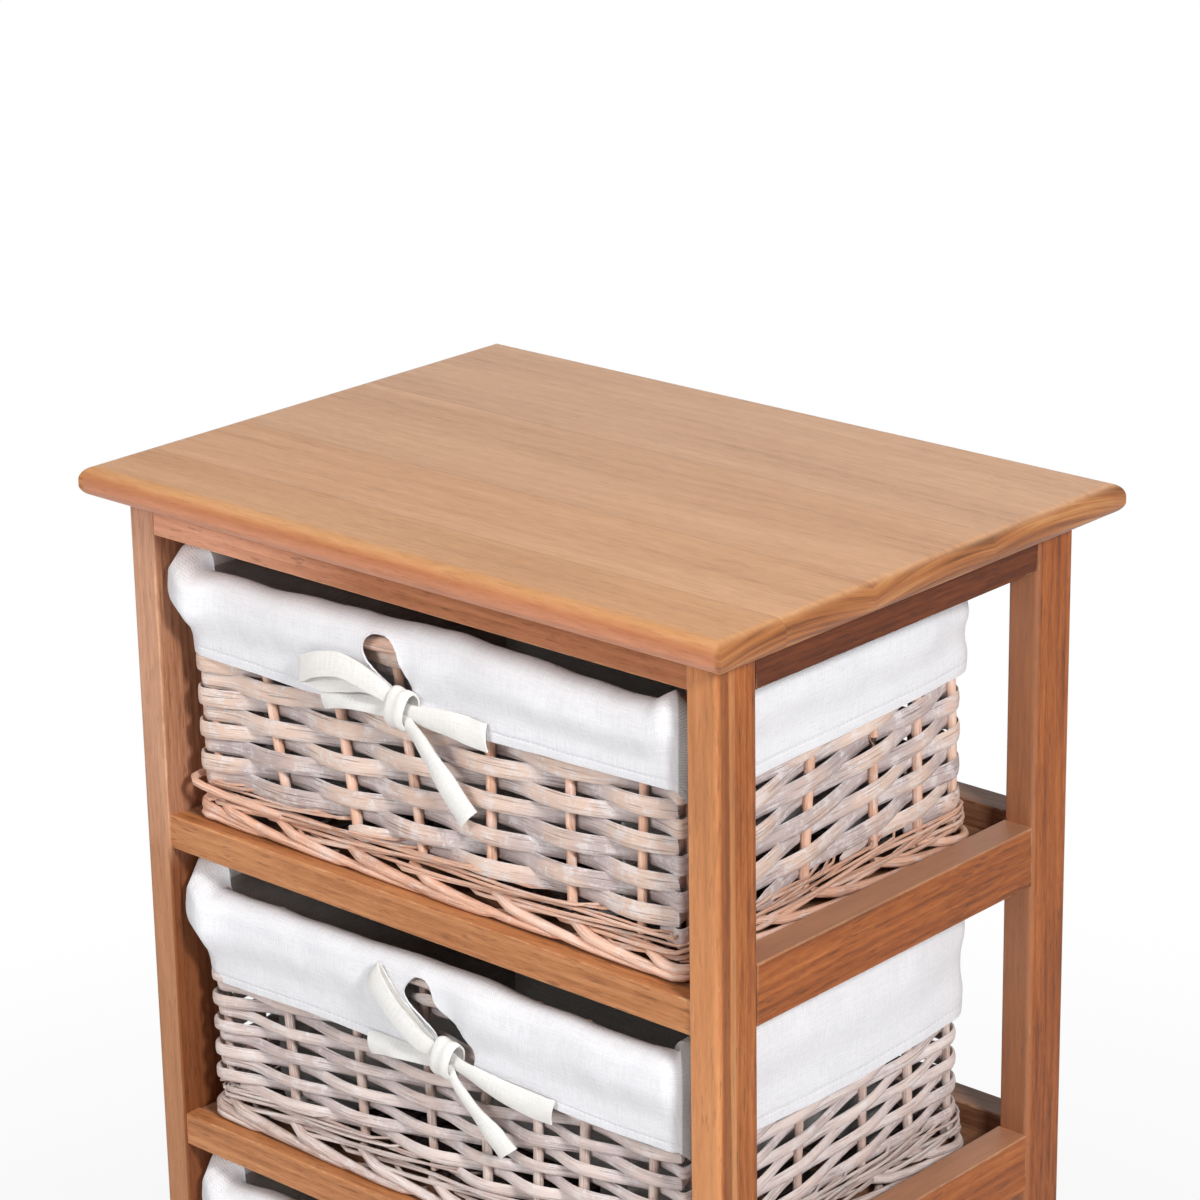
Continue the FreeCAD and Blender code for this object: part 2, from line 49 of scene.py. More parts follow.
# Basket plan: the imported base, grown by the weave, with corners that are tighter at the front
base_low, base_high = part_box("basket_1_base")
front_round = 0.0055
rear_round = 0.017
weave_thickness = 0.009
half_x = base_high.x + weave_thickness
half_y = (base_high.y - base_low.y) / 2 + weave_thickness
plan_y = (base_high.y + base_low.y) / 2
front_y = plan_y - half_y
front_x, rear_x = half_x - front_round, half_x - rear_round
front_reach, rear_reach = half_y - front_round, half_y - rear_round
quarter = math.pi / 2
side_runs = np.array([
    2 * front_x, front_round * quarter, front_reach + rear_reach, rear_round * quarter,
    2 * rear_x, rear_round * quarter, front_reach + rear_reach, front_round * quarter,
])
side_marks = np.concatenate([[0.0], np.cumsum(side_runs)])
plan_run = side_marks[-1]
front_middle = front_x
right_middle = side_marks[2] + front_reach
rear_middle = side_marks[4] + rear_x
left_middle = side_marks[6] + rear_reach

# Weave of each basket: stakes as shares of half a side, leans as run over rise, flat split rods or rounder ones
weaves = {
    "basket_1": {
        "rows": 11, "start": 1.37, "height": 0.0097, "section": 0.20,
        "front": (-0.95, -0.69, -0.38, -0.10, 0.24, 0.56, 0.84),
        "right": (-0.88, -0.50, -0.12, 0.32, 0.62, 0.89),
        "front_leans": (0.0, -0.17, -0.16, -0.15, 0.02, 0.01, 0.04),
        "right_leans": (0.0, 0.0, 0.08, 0.0, -0.03, -0.09),
    },
    "basket_2": {
        "rows": 14, "start": 0.60, "height": 0.0064, "section": 0.40,
        "front": (-0.97, -0.68, -0.37, -0.06, 0.18, 0.40, 0.59, 0.86),
        "right": (-0.88, -0.53, -0.18, 0.25, 0.57, 0.87),
        "front_leans": (0.0, -0.05, -0.06, -0.04, 0.0, 0.03, 0.05, 0.04),
        "right_leans": (0.0, 0.0, 0.05, 0.0, -0.03, -0.06),
    },
    "basket_3": {
        "rows": 12, "start": 0.27, "height": 0.0074, "section": 0.33,
        "front": (-0.92, -0.63, -0.33, -0.05, 0.25, 0.55, 0.86),
        "right": (-0.86, -0.52, -0.16, 0.22, 0.56, 0.88),
        "front_leans": (0.0, -0.06, -0.08, -0.05, 0.02, 0.04, 0.05),
        "right_leans": (0.0, 0.02, 0.05, 0.0, -0.02, -0.05),
    },
}
even_spread = 0.9
stake_radius = 0.0024
weave_swing = 0.0033
row_wander = 0.0009
bulge_out = 0.0050
bulge_reach = 0.020
side_calm = 0.012
spare_rows = 6
row_under = 0.0015
row_over = 0.003
front_rise = 0.05
side_rise = 0.148
hole_half = 0.045
hole_low = 0.091
hole_high = 0.105

# Border and wale rods
wale_rod_radius = 0.0011
wale_gaps = 5.0
wale_low = 0.0080
wale_high = 0.0220
border_rod_radius = 0.0027
border_stretch = 2.7
rear_draw = 0.0038
base_stick_gap = 0.024
base_stick_radius = 0.0013
base_rod_gap = 0.0075
base_rod_radius = 0.0019
base_rod_swing = 0.0016


class Wire:
    """A shader socket that can be written in sums: each operator adds the Math node that it stands for."""

    def __init__(self, tree, socket=None):
        self.tree = tree
        self.socket = socket

    def node(self, kind, settings=None, sockets=None, out=0):
        """Adds a node of any type: its settings first, then the values or links of its sockets."""
        made = self.tree.nodes.new("ShaderNode" + kind)
        for name, value in (settings or {}).items():
            if name == "stops":
                self.set_stops(made.color_ramp, value)
            else:
                setattr(made, name, value)
        for name, value in (sockets or {}).items():
            if isinstance(value, Wire):
                self.tree.links.new(value.socket, made.inputs[name])
            else:
                made.inputs[name].default_value = value
        return Wire(self.tree, made.outputs[out])

    @staticmethod
    def set_stops(ramp, stops):
        while len(ramp.elements) < len(stops):
            ramp.elements.new(1.0)
        for element, (place, colour) in zip(ramp.elements, stops):
            element.position = place
            element.color = (*colour, 1.0)

    def sum(self, operation, *values):
        return self.node("Math", {"operation": operation}, dict(enumerate(values)))

    def __add__(self, other):
        return self.sum("ADD", self, other)

    def __sub__(self, other):
        return self.sum("SUBTRACT", self, other)

    def __rsub__(self, other):
        return self.sum("SUBTRACT", other, self)

    def __mul__(self, other):
        return self.sum("MULTIPLY", self, other)

    def __truediv__(self, other):
        return self.sum("DIVIDE", self, other)

    __radd__ = __add__
    __rmul__ = __mul__

    def least(self, other):
        return self.sum("MINIMUM", self, other)

    def most(self, other):
        return self.sum("MAXIMUM", self, other)

    def alone(self, operation):
        """A Math node with this value only, such as its sine."""
        return self.sum(operation, self)

    def step(self, low, high):
        """0 below low and 1 above high, smooth between."""
        return self.node("MapRange", {"interpolation_type": "SMOOTHSTEP"}, {0: self, 1: low, 2: high})

    def between(self, low, rise, fall, high):
        """1 from rise to fall and 0 outside low and high, smooth at both ends."""
        return self.step(low, rise) * (1 - self.step(fall, high))

    def ramp(self, stops):
        return self.node("ValToRGB", {"stops": stops}, {0: self})

    def tint(self, ground, colour, blend="MIX"):
        """Lays a colour on a ground where this value is high."""
        settings = {"data_type": "RGBA", "blend_type": blend}
        return self.node("Mix", settings, {0: self, 6: opaque(ground), 7: opaque(colour)}, 2)

    def shift(self, value, saturation=1.0):
        """This colour, lighter or darker and more or less strong."""
        return self.node("HueSaturation", None, {"Value": value, "Saturation": saturation, "Color": self})

    def bump(self, strength, distance):
        return self.node("Bump", None, {"Strength": strength, "Distance": distance, "Height": self})

    def spot(self):
        """The place on a piece, in metres."""
        return self.node("TexCoord", out=3)

    def split(self):
        """The three parts of a vector."""
        made = self.node("SeparateXYZ", None, {0: self}).socket.node
        return [Wire(self.tree, part) for part in made.outputs]

    def speckle(self, vector, scale, detail=3.0, rough=0.55):
        sockets = {"Vector": vector, "Scale": scale, "Detail": detail, "Roughness": rough}
        return self.node("TexNoise", None, sockets)

    def drawn(self, x, y, z, detail=3.0, rough=0.55):
        """Noise at a place given part by part, so that it can be drawn out along one of them."""
        place = self.node("CombineXYZ", None, {0: x, 1: y, 2: z})
        return self.speckle(place, 1.0, detail, rough)


def opaque(colour):
    return colour if isinstance(colour, Wire) else (*colour, 1.0)


def srgb(red, green, blue):
    """A colour as seen on a screen, from 0 to 255, as the linear values that shaders take."""
    shares = [c / 255 for c in (red, green, blue)]
    return tuple(c / 12.92 if c <= 0.04045 else ((c + 0.055) / 1.055) ** 2.4 for c in shares)


def finish(name):
    """A new material with its shader, and a Wire that starts its nodes."""
    material = bpy.data.materials.new(name)
    material.use_nodes = True
    shader = material.node_tree.nodes["Principled BSDF"]
    return material, shader, Wire(material.node_tree)


def plug(shader, **inputs):
    """Sets or links a shader's inputs, named with _ for their spaces."""
    for name, value in inputs.items():
        socket = shader.inputs[name.replace("_", " ")]
        if isinstance(value, Wire):
            value.tree.links.new(value.socket, socket)
        else:
            socket.default_value = opaque(value) if isinstance(value, tuple) else value


# Wood: growth rings round a pith line that runs along each board, so faces show grain and ends show arcs
class Tone:
    """The colours of one stained board, with how strong its rings show and how much its edges are worn."""

    def __init__(self, light, dark, pore, figure=0.16, worn=0.35, rings=0.0052, rough=0.44, pores=0.5, streaks=1.0):
        self.light, self.dark, self.pore = srgb(*light), srgb(*dark), srgb(*pore)
        self.figure, self.worn, self.rings = figure, worn, rings
        self.rough, self.pores, self.streaks = rough, pores, streaks


raw_wood = srgb(222, 178, 132)
worn_width = 0.0016
post_tone = Tone((200, 128, 70), (162, 90, 40), (102, 54, 22))
left_tone = Tone((202, 152, 122), (170, 118, 88), (116, 72, 48))
rail_tone = Tone((208, 146, 98), (174, 112, 68), (114, 68, 38))
apron_tone = Tone((196, 130, 89), (168, 104, 66), (110, 62, 34))
side_tone = Tone((190, 112, 54), (148, 78, 31), (90, 46, 18))
grey_tone = Tone((166, 122, 94), (130, 86, 60), (90, 58, 40))
dark_tone = Tone((126, 66, 34), (86, 42, 19), (40, 18, 8), 0.12, 0.2, 0.0034, 0.60)
panel_tone = Tone((160, 116, 88), (132, 90, 64), (96, 62, 42), 0.10, 0.1)
dowel_tone = Tone((214, 184, 140), (190, 154, 108), (160, 124, 84), 0.2, 0.0)
top_tone = Tone((223, 169, 120), (199, 142, 93), (154, 102, 64), 0.07, 0.25, 0.0090, 0.38, 0.25, 0.40)


def grain(wire, place, tone, lines):
    """The colour and the height of stained wood: place gives along, across and through the board."""
    along, across, through = place

    def lengthwise(coarse, fine, detail, rough=0.55):
        return wire.drawn(along * coarse, across * fine, through * fine, detail, rough)

    drift = lengthwise(1.6, 9.0, 3.0, 0.5)
    far = (across * across + through * through).alone("SQRT")
    ring = (far / tone.rings + drift * 7.0 + lines).alone("FRACT")
    late = ring.between(0.05, 0.90, 0.90, 1.0)
    broad = lengthwise(3.0, 30.0, 4.0, 0.6)
    streak = lengthwise(12.0, 210.0, 4.0, 0.7)
    fibre = lengthwise(70.0, 620.0, 3.0, 0.75)
    pores = lengthwise(75.0, 720.0, 2.0).step(0.60, 0.68)
    depth = broad * 0.90 + late * tone.figure + (streak - 0.5) * tone.streaks + fibre * 0.75 - 0.36
    colour = depth.ramp([(0.12, tone.light), (0.62, tone.dark), (0.98, tone.pore)])
    colour = (pores * tone.pores).tint(colour, tone.pore)
    return colour, fibre * 0.5 - pores * 0.8 + late * 0.2


def edge_wear(wire, spot, low, high, width):
    """1 along the edges of a board's box, ragged, and 0 on its faces."""
    x, y, z = [(axis - low[k]).least(high[k] - axis) for k, axis in enumerate(spot)]
    near = x.least(y).most(x.most(y).least(z))
    ragged = wire.speckle(wire.spot(), 70.0, 4.0, 0.7)
    return 1 - (near / width + (1 - ragged) * 2.6).step(1.28, 1.75)


def board_finish(node, axis, tone, seed, extra=None):
    """The finish of one CAD board, with its grain along one axis and an extra rule for its colour."""
    low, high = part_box(node)
    material, shader, wire = finish("wood_" + node)
    spot = wire.spot().split()
    middle = (low + high) / 2
    draw = random.Random(seed)
    others = [k for k in range(3) if k != axis]
    across = spot[others[0]] - (middle[others[0]] + draw.uniform(-0.03, 0.03))
    through = spot[others[1]] - (middle[others[1]] + draw.choice((-1, 1)) * draw.uniform(0.03, 0.06))
    along = spot[axis] + draw.uniform(0.0, 9.0)
    place = (along, across, through)
    if node == "top_panel":
        place = glued_boards(along, spot[1], through)
    colour, height = grain(wire, place, tone, draw.random())
    colour = colour.shift(draw.uniform(0.95, 1.04))
    worn = edge_wear(wire, spot, low, high, worn_width) * tone.worn
    colour = worn.tint(colour, raw_wood)
    if extra:
        colour = extra(spot, colour)
    rough = worn * 0.2 + height * 0.06 + tone.rough
    plug(shader, Base_Color=colour, Roughness=rough, Normal=height.bump(0.25, 0.0006), Specular_IOR_Level=0.28)
    dress(node, material)


# The top is glued up from boards: where they meet, and how far each board's pith lies from its middle
board_seams = (-0.1022, -0.0421, 0.0450)
pith_steps = (0.085, -0.062, 0.097)


def past(y, seam):
    """1 behind a joint of the top's boards and 0 before it."""
    return y.step(seam - 0.0001, seam + 0.0001)


def glued_boards(along, y, through):
    """Places in the top's boards, each with its own pith and its own stretch of grain."""
    across = y + 0.128
    for seam, jump in zip(board_seams, pith_steps):
        behind = past(y, seam)
        across = across - behind * jump
        along = along + behind * 1.7
        through = through + behind * (jump * 0.35)
    return along, across, through


def top_colour(spot, colour):
    """Board by board tones with fine joints, rounder edges stained deeper, their lower part and the underside painted
    lighter against the shade under the top, and arcs on the end grain.
    """
    x, y, z = spot
    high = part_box("top_panel")[1]
    for seam, shade in zip(board_seams, (1.045, 0.975, 1.03)):
        colour = past(y, seam).tint(colour, colour.shift(shade, 0.96))
        gap = 1 - (y - seam).alone("ABSOLUTE").step(0.0002, 0.0006)
        colour = (gap * 0.35).tint(colour, srgb(150, 100, 66))
    edge = 1 - z.step(high.z - 0.0055, high.z - 0.0008)
    colour = (edge * 0.8).tint(colour, srgb(212, 172, 164), "MULTIPLY")
    # Painted light: below the upper rounding, the edges and the underside are lightened to lift the shade that falls
    # under the top's edge.
    under = 1 - z.step(high.z - 0.0110, high.z - 0.0030)
    colour = (under * 0.75).tint(colour, colour.shift(1.46, 0.86))
    end = x.alone("ABSOLUTE").step(high.x - 0.0050, high.x - 0.0015)
    centre = y + 0.122
    lean = 0.10
    for seam, jump, turn in zip(board_seams, (0.050, 0.075, 0.100), (-0.22, 0.16, -0.12)):
        behind = past(y, seam)
        centre = centre - behind * jump
        lean = behind * turn + lean
    level = z - centre * lean + centre * centre * 1.6
    bands = x.drawn(x, y * 9.0, level * 330.0, 4.0, 0.62)
    early, late = (srgb(204, 150, 92), srgb(168, 106, 58)), (srgb(138, 82, 42), srgb(92, 50, 24))
    arcs = bands.ramp(list(zip((0.30, 0.47, 0.58, 0.70), early + late)))
    return (end * 0.9).tint(colour, arcs)


def post_front(spot, colour, pale):
    """The front face of a front post, painted paler than its sides for the stronger light that falls on it, and where
    that face is.
    """
    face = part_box("post_front_left")[0].y
    front = 1 - spot[1].step(face + 0.0003, face + 0.0032)
    # Painted light: the front face is lightened and mixed towards a pale colour, standing for the frontal light on it.
    return front, front.tint(colour, (front * 0.35).tint(colour.shift(1.28, 0.92), pale))


def left_front(spot, colour):
    """The left-hand post: its front painted paler for the light on it, pink above and browner below, and its inner
    face painted darker in the lower bays for the shade that falls there.
    """
    front, colour = post_front(spot, colour, srgb(212, 161, 128))
    low_down = 1 - spot[2].step(0.33, 0.43)
    colour = (front * low_down).tint(colour, srgb(222, 205, 179), "MULTIPLY")
    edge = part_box("post_front_left")[1].x
    inner = spot[0].step(edge - 0.0016, edge - 0.0004)
    # Painted shade: low on the inner face, beside the lower baskets, the wood is darkened for the shade that falls
    # there.
    return (inner * (1 - spot[2].step(0.355, 0.375))).tint(colour, srgb(184, 154, 122), "MULTIPLY")


def rear_face(spot, colour):
    """The front face of a rear post, dustier than its sides."""
    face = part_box("post_rear_right")[0].y
    front = 1 - spot[1].step(face + 0.0002, face + 0.0030)
    return (front * 0.55).tint(colour, srgb(176, 128, 100))


def post_streak(spot, colour):
    """The dark band and the lighter streak behind the front corner of the right-hand post."""
    # Painted light: the front face is painted paler for the light on it, as post_front does.
    colour = post_front(spot, colour, srgb(218, 156, 98))[1]
    x, y, z = spot
    low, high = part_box("post_front_right")
    side = x.step(high.x - 0.0045, high.x - 0.0025)
    behind = y - low.y + x.drawn(x * 40.0, y * 500.0, z * 14.0) * 0.0016
    band = behind.between(0.0028, 0.0040, 0.0078, 0.0088) * side
    colour = (band * 0.5).tint(colour, srgb(110, 60, 32))
    streak = behind.between(0.0085, 0.0092, 0.0118, 0.0126) * side
    low_down = 1 - z.step(0.15, 0.52) * 0.6
    return (streak * low_down * 0.6).tint(colour, srgb(222, 168, 116))


def dress(node, material):
    """Gives a CAD node a finish."""
    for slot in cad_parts[node].material_slots:
        slot.material = material


post_looks = {
    "front_left": (left_tone, left_front),
    "front_right": (post_tone, post_streak),
    "rear_right": (side_tone, rear_face),
}


def apron_end(spot, colour):
    """The front apron's left end, paler than the rest of it."""
    left = 1 - spot[0].step(-0.125, -0.010)
    return left.tint(colour, colour.shift(1.7, 0.84))


def rail_top(spot, colour):
    """The upper faces of the side rails, paler and greyer than their sides."""
    z = spot[2]
    for level in (1, 2, 3):
        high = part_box("shelf_%d_right_rail" % level)[1].z
        over = z.between(high - 0.0012, high - 0.0003, high + 0.001, high + 0.002)
        colour = (over * 0.6).tint(colour, srgb(186, 142, 112))
    return colour


def dress_frame():
    """Every board of the frame, with its grain along its length."""
    sides = (
        ("left", 1, side_tone, side_tone), ("right", 1, dark_tone, side_tone),
        ("front", 0, apron_tone, rail_tone), ("rear", 0, grey_tone, grey_tone),
    )
    for k, corner in enumerate(("front_left", "front_right", "rear_left", "rear_right")):
        tone, extra = post_looks.get(corner, (side_tone, None))
        board_finish("post_" + corner, 2, tone, 11 + k, extra)
    for side, axis, apron, rail in sides:
        board_finish("apron_" + side, axis, apron, "apron " + side, apron_end if side == "front" else None)
        for level in (1, 2, 3):
            name = "shelf_%d_%s_rail" % (level, side)
            board_finish(name, axis, rail, name, rail_top if axis == 1 else None)
    for level in (1, 2, 3):
        board_finish("shelf_%d_panel" % level, 0, panel_tone, level)
    board_finish("top_panel", 0, top_tone, 5, top_colour)
    for name, axis in (("front_rail_dowels", 0), ("rear_rail_dowels", 0), ("side_rail_dowels", 1)):
        board_finish(name, axis, dowel_tone, name)


def dress_hardware():
    """Zinc-plated screws and moulded glides."""
    material, shader, wire = finish("zinc_screw")
    spot = wire.spot()
    cloudy = wire.speckle(spot, 900.0)
    colour = cloudy.ramp([(0.3, srgb(150, 148, 142)), (0.7, srgb(196, 194, 188))])
    plug(shader, Base_Color=colour, Metallic=1.0, Roughness=cloudy * 0.2 + 0.25)
    dress("top_screws", material)
    material, shader, wire = finish("glide_plastic")
    spot = wire.spot()
    grit = wire.speckle(spot, 2500.0)
    colour = grit.ramp([(0.3, srgb(44, 34, 28)), (0.7, srgb(62, 50, 42))])
    plug(shader, Base_Color=colour, Roughness=0.5, Normal=grit.bump(0.2, 0.0002))
    dress("foot_glides", material)


def willow_finish(name, hidden, bulge, reach, wash, edges=0.15):
    """Willow with its own tone per rod, warmer and lighter where it bulges out, partly the rods' blotches and partly a
    painted highlight, with fibres, a thin whitewash and painted shade in the recesses.
    """
    material, shader, wire = finish(name)
    run, turn, _ = wire.node("TexCoord", out=2).split()
    tone = wire.node("Attribute", {"attribute_name": "tone"}, out=2)
    proud = wire.node("Attribute", {"attribute_name": "proud"}, out=2)
    spot = wire.spot()
    blotch = wire.drawn(run * (reach / 0.035), turn * 1.5, tone * 60.0)
    fibre = wire.drawn(run * (reach / 0.02), turn * 26.0, tone * 90.0, 2.0, 0.65)
    depth = tone * 0.40 + blotch * 0.85 + fibre * 0.75 - 0.50
    # Painted highlight: the parts that stand out take the lighter tan colours and the parts set back take the greyer
    # ones, mixed with the rods' own blotches and tones.
    warm = (proud + (blotch - 0.5) * 0.9 + (tone - 0.5) * 0.5).step(0.45, 0.92)
    colour = warm.tint(depth.ramp(hidden), depth.ramp(bulge))
    smear = wire.speckle(spot, 120.0, 4.0, 0.65)
    edge = (turn * (2 * math.pi)).alone("SINE").alone("ABSOLUTE")
    edge = (edge + (smear - 0.5) * 1.2).step(0.84, 1.0)
    chalk = (smear * 0.7 + fibre * 0.3).step(0.55 - wash * 0.12, 0.65 - wash * 0.08) * wash
    fleck = wire.speckle(spot, 330.0, 3.0, 0.6).step(0.58, 0.66) * smear.step(0.42, 0.58) * (wash * 1.5)
    chalk = chalk.most(fleck).most(edge * (wash * edges))
    colour = chalk.tint(colour, srgb(238, 233, 233))
    crack = wire.drawn(run * (reach / 0.03), turn * 40.0, tone * 50.0, 1.0).step(0.63, 0.72)
    colour = (crack * 0.45).tint(colour, srgb(116, 92, 82))
    # Painted shade: parts set far back into the weave are darkened, standing for the shade in its recesses.
    recess_shade = 1 - proud.step(0.03, 0.34)
    colour = (recess_shade * 0.94).tint(colour, srgb(72, 60, 55), "MULTIPLY")
    height = fibre + smear * 0.5 - crack * 0.6
    rough = chalk * 0.25 + 0.55
    plug(shader, Base_Color=colour, Roughness=rough, Normal=height.bump(0.8, 0.0007), Specular_IOR_Level=0.35)
    return material


def deselect():
    bpy.ops.object.select_all(action="DESELECT")


def vertex_spots(mesh):
    spots = np.empty(len(mesh.vertices) * 3)
    mesh.vertices.foreach_get("co", spots)
    return spots.reshape(-1, 3)


def islands(mesh):
    """Numbers each vertex by the loose part of the mesh that it belongs to."""
    ends = np.empty(len(mesh.edges) * 2, np.int64)
    mesh.edges.foreach_get("vertices", ends)
    start, end = ends.reshape(-1, 2).T
    label = np.arange(len(mesh.vertices))
    while True:
        low = np.minimum(label[start], label[end])
        fresh = label.copy()
        np.minimum.at(fresh, start, low)
        np.minimum.at(fresh, end, low)
        fresh = fresh[fresh]
        if (fresh == label).all():
            return np.unique(label, return_inverse=True)[1]
        label = fresh


def around(run, out):
    """The plan's point at a run from the front's left end, walking round to the right, moved outwards."""
    run = np.mod(run, plan_run)
    xs = (-front_x, front_x, front_x, rear_x, rear_x, -rear_x, -rear_x, -front_x, -front_x)
    ys = [-front_reach] * 3 + [rear_reach] * 4 + [-front_reach] * 2
    bends = [front_round] * 3 + [rear_round] * 4 + [front_round] * 2
    turn = np.interp(run, side_marks, np.array([0, 0, 1, 1, 2, 2, 3, 3, 4]) * quarter)
    reach = np.interp(run, side_marks, bends) + out
    x = np.interp(run, side_marks, xs) + reach * np.sin(turn)
    return x, plan_y + np.interp(run, side_marks, ys) - reach * np.cos(turn)


def section_curve(share):
    """The flattened section of a split rod, one high each way from its middle."""
    deselect()
    bpy.ops.curve.primitive_bezier_circle_add(radius=1.0)
    curve = bpy.context.object
    curve.data.resolution_u = 3
    curve.scale = (share, 1.0, 1.0)
    bpy.ops.object.transform_apply(location=False, rotation=False, scale=True)
    return curve


def outward(points):
    """How far points lie outside the plan's outline; inside it the value is below zero."""
    bend = np.where(points[:, 1] < plan_y, front_round, rear_round)
    over_x = np.abs(points[:, 0]) - half_x + bend
    over_y = np.abs(points[:, 1] - plan_y) - half_y + bend
    beyond = np.hypot(np.maximum(over_x, 0), np.maximum(over_y, 0))
    return beyond + np.minimum(np.maximum(over_x, over_y), 0) - bend


def rods(name, routes, section=None):
    """Willow along routes of x, y, z, radii and whether they close, as one mesh with a tone per rod."""
    deselect()
    bpy.ops.curve.primitive_nurbs_path_add()
    piece = bpy.context.object
    piece.name = name
    curve = piece.data
    curve.splines.clear()
    curve.twist_mode = "Z_UP"
    curve.use_fill_caps = True
    if section:
        curve.bevel_mode = "OBJECT"
        curve.bevel_object = section
    else:
        curve.bevel_depth = 1.0
        curve.bevel_resolution = 2
    for x, y, z, radii, closed in routes:
        points = np.column_stack(np.broadcast_arrays(x, y, z, 1.0))
        spline = curve.splines.new("POLY")
        spline.points.add(len(points) - 1)
        spline.points.foreach_set("co", points.ravel())
        spline.points.foreach_set("radius", np.broadcast_to(radii, len(points)).astype(float))
        spline.use_cyclic_u = closed
    bpy.ops.object.convert(target="MESH")
    piece = bpy.context.object
    bpy.ops.object.shade_smooth_by_angle(angle=math.radians(50))
    mesh = piece.data
    part = islands(mesh)
    tones = np.array([chance.random() for _ in range(part.max() + 1)])
    proud = np.clip(outward(vertex_spots(mesh)) / weave_thickness + 1, 0, 1)
    for title, values in (("tone", tones[part]), ("proud", proud)):
        layer = mesh.attributes.new(title, "FLOAT", "POINT")
        layer.data.foreach_set("value", values.astype(np.float32))
    return piece


def floor_of(basket):
    """The height that a basket stands at."""
    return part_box(basket + "_foot")[0].z


def stake_places(weave):
    """Where a basket's stakes stand along its plan, in order, with how each leans."""
    places = []
    for middle, half, side in ((front_middle, half_x, "front"), (right_middle, half_y, "right")):
        places += [(middle + half * share, lean) for share, lean in zip(weave[side], weave[side + "_leans"])]
    for middle, half, side in ((rear_middle, half_x, "front"), (left_middle, half_y, "right")):
        count = len(weave[side])
        places += [(middle + half * even_spread * ((2 * k + 1) / count - 1), 0.0) for k in range(count)]
    places = sorted((run % plan_run, lean) for run, lean in places)
    return np.array(places).T


def stake_count_at(run, stakes):
    """How many stakes have been passed at a run, as a number that grows evenly between them."""
    marks = np.concatenate([[stakes[-1] - plan_run], stakes, [stakes[0] + plan_run]])
    return np.interp(np.mod(run, plan_run), marks, np.arange(len(marks)) - 1.0)


def wander(values, seed, length):
    """Smooth random numbers along a run, from about -1 to 1."""
    return np.array([noise.noise(Vector((v / length, seed * 7.3, 0.5))) for v in values]) * 1.6


def closed_wander(run, seed, length):
    """The same for a run all the way round, so that its end meets its start."""
    values = wander(run, seed, length)
    closing = np.clip((run - plan_run + 0.08) / 0.08, 0, 1)
    return values * (1 - closing) + values[0] * closing


def stretches(keep):
    """The stretches of a ring that are kept, each as a list of places in order."""
    if keep.all():
        return [np.arange(len(keep))]
    first = int(np.argmin(keep))
    order = np.roll(np.arange(len(keep)), -first)
    cuts = np.flatnonzero(np.diff(np.concatenate([[False], keep[order], [False]]).astype(int)))
    return [order[a:b] for a, b in zip(cuts[::2], cuts[1::2]) if b - a > 5]


def row_height(run, level):
    """The height of a row that lies on the weave's tilted plane."""
    x, y = around(run, -weave_thickness / 2)
    return level + front_rise * x + side_rise * (y - plan_y)


def weavers(basket, weave, stakes, leans, section):
    """The rows of weave: each passes before one stake and behind the next, and its neighbours the other way."""
    floor = floor_of(basket)
    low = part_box(basket + "_wale")[1].z
    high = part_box(basket + "_rim")[0].z
    pitch = (high - low) / weave["rows"]
    run = np.linspace(0.0, plan_run, 400, endpoint=False)
    routes = []
    for row in range(-spare_rows, weave["rows"] + spare_rows):
        level = low + pitch * (row + weave["start"] + 0.5)
        leaning = stakes + leans * (np.clip(row_height(stakes, level), low, high) - (low + high) / 2)
        face = np.cos(math.pi * (stake_count_at(run, leaning) + row))
        drift = closed_wander(run, row + 20 * ord(basket[-1]), 0.07)
        corner = bump_at(run, plan_run - front_round, bulge_reach)
        beside = smooth_step(np.abs(around(run, 0.0)[0]), half_x - side_calm, half_x)
        calm = 1 - 0.55 * corner - 0.25 * beside * (1 - corner)
        swing = weave_swing * calm * face + bulge_out * corner
        x, y = around(run, -weave_thickness / 2 + swing + 0.0003 * drift)
        z = row_height(run, level) + row_wander * drift
        in_hole = (z > floor + hole_low) & (z < floor + hole_high)
        in_hole &= (np.abs(x) < hole_half) & (y < front_y + front_round)
        keep = (z > low - row_under) & (z < high + row_over) & ~in_hole
        tall = weave["height"] * chance.uniform(0.93, 1.06)
        radii = tall / 2 * (0.97 + 0.02 * face + 0.07 * np.roll(drift, 40))
        for part in stretches(keep):
            closed = len(part) == len(run)
            ends = np.minimum(np.arange(len(part)), np.arange(len(part))[::-1])
            taper = 1.0 if closed else np.clip(0.55 + ends * 0.15, 0, 1)
            routes.append((x[part], y[part], z[part], radii[part] * taper, closed))
    return rods(basket + "_weavers", routes, section)


def uprights(basket, stakes, leans):
    """The stakes, from behind the wale to the rim."""
    wale_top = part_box(basket + "_wale")[1].z
    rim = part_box(basket + "_rim")
    middle = (wale_top + rim[0].z) / 2
    z = np.linspace(wale_top - 0.004, rim[1].z - 0.006, 14)
    routes = []
    for run, lean in zip(stakes, leans):
        bend = chance.uniform(-0.0006, 0.0006) * np.sin(np.linspace(0, 3, len(z)))
        x, y = around(run + lean * (np.clip(z, wale_top, rim[0].z) - middle) + bend, -weave_thickness / 2)
        routes.append((x, y, z, stake_radius * chance.uniform(0.9, 1.06), False))
    return rods(basket + "_stakes", routes)


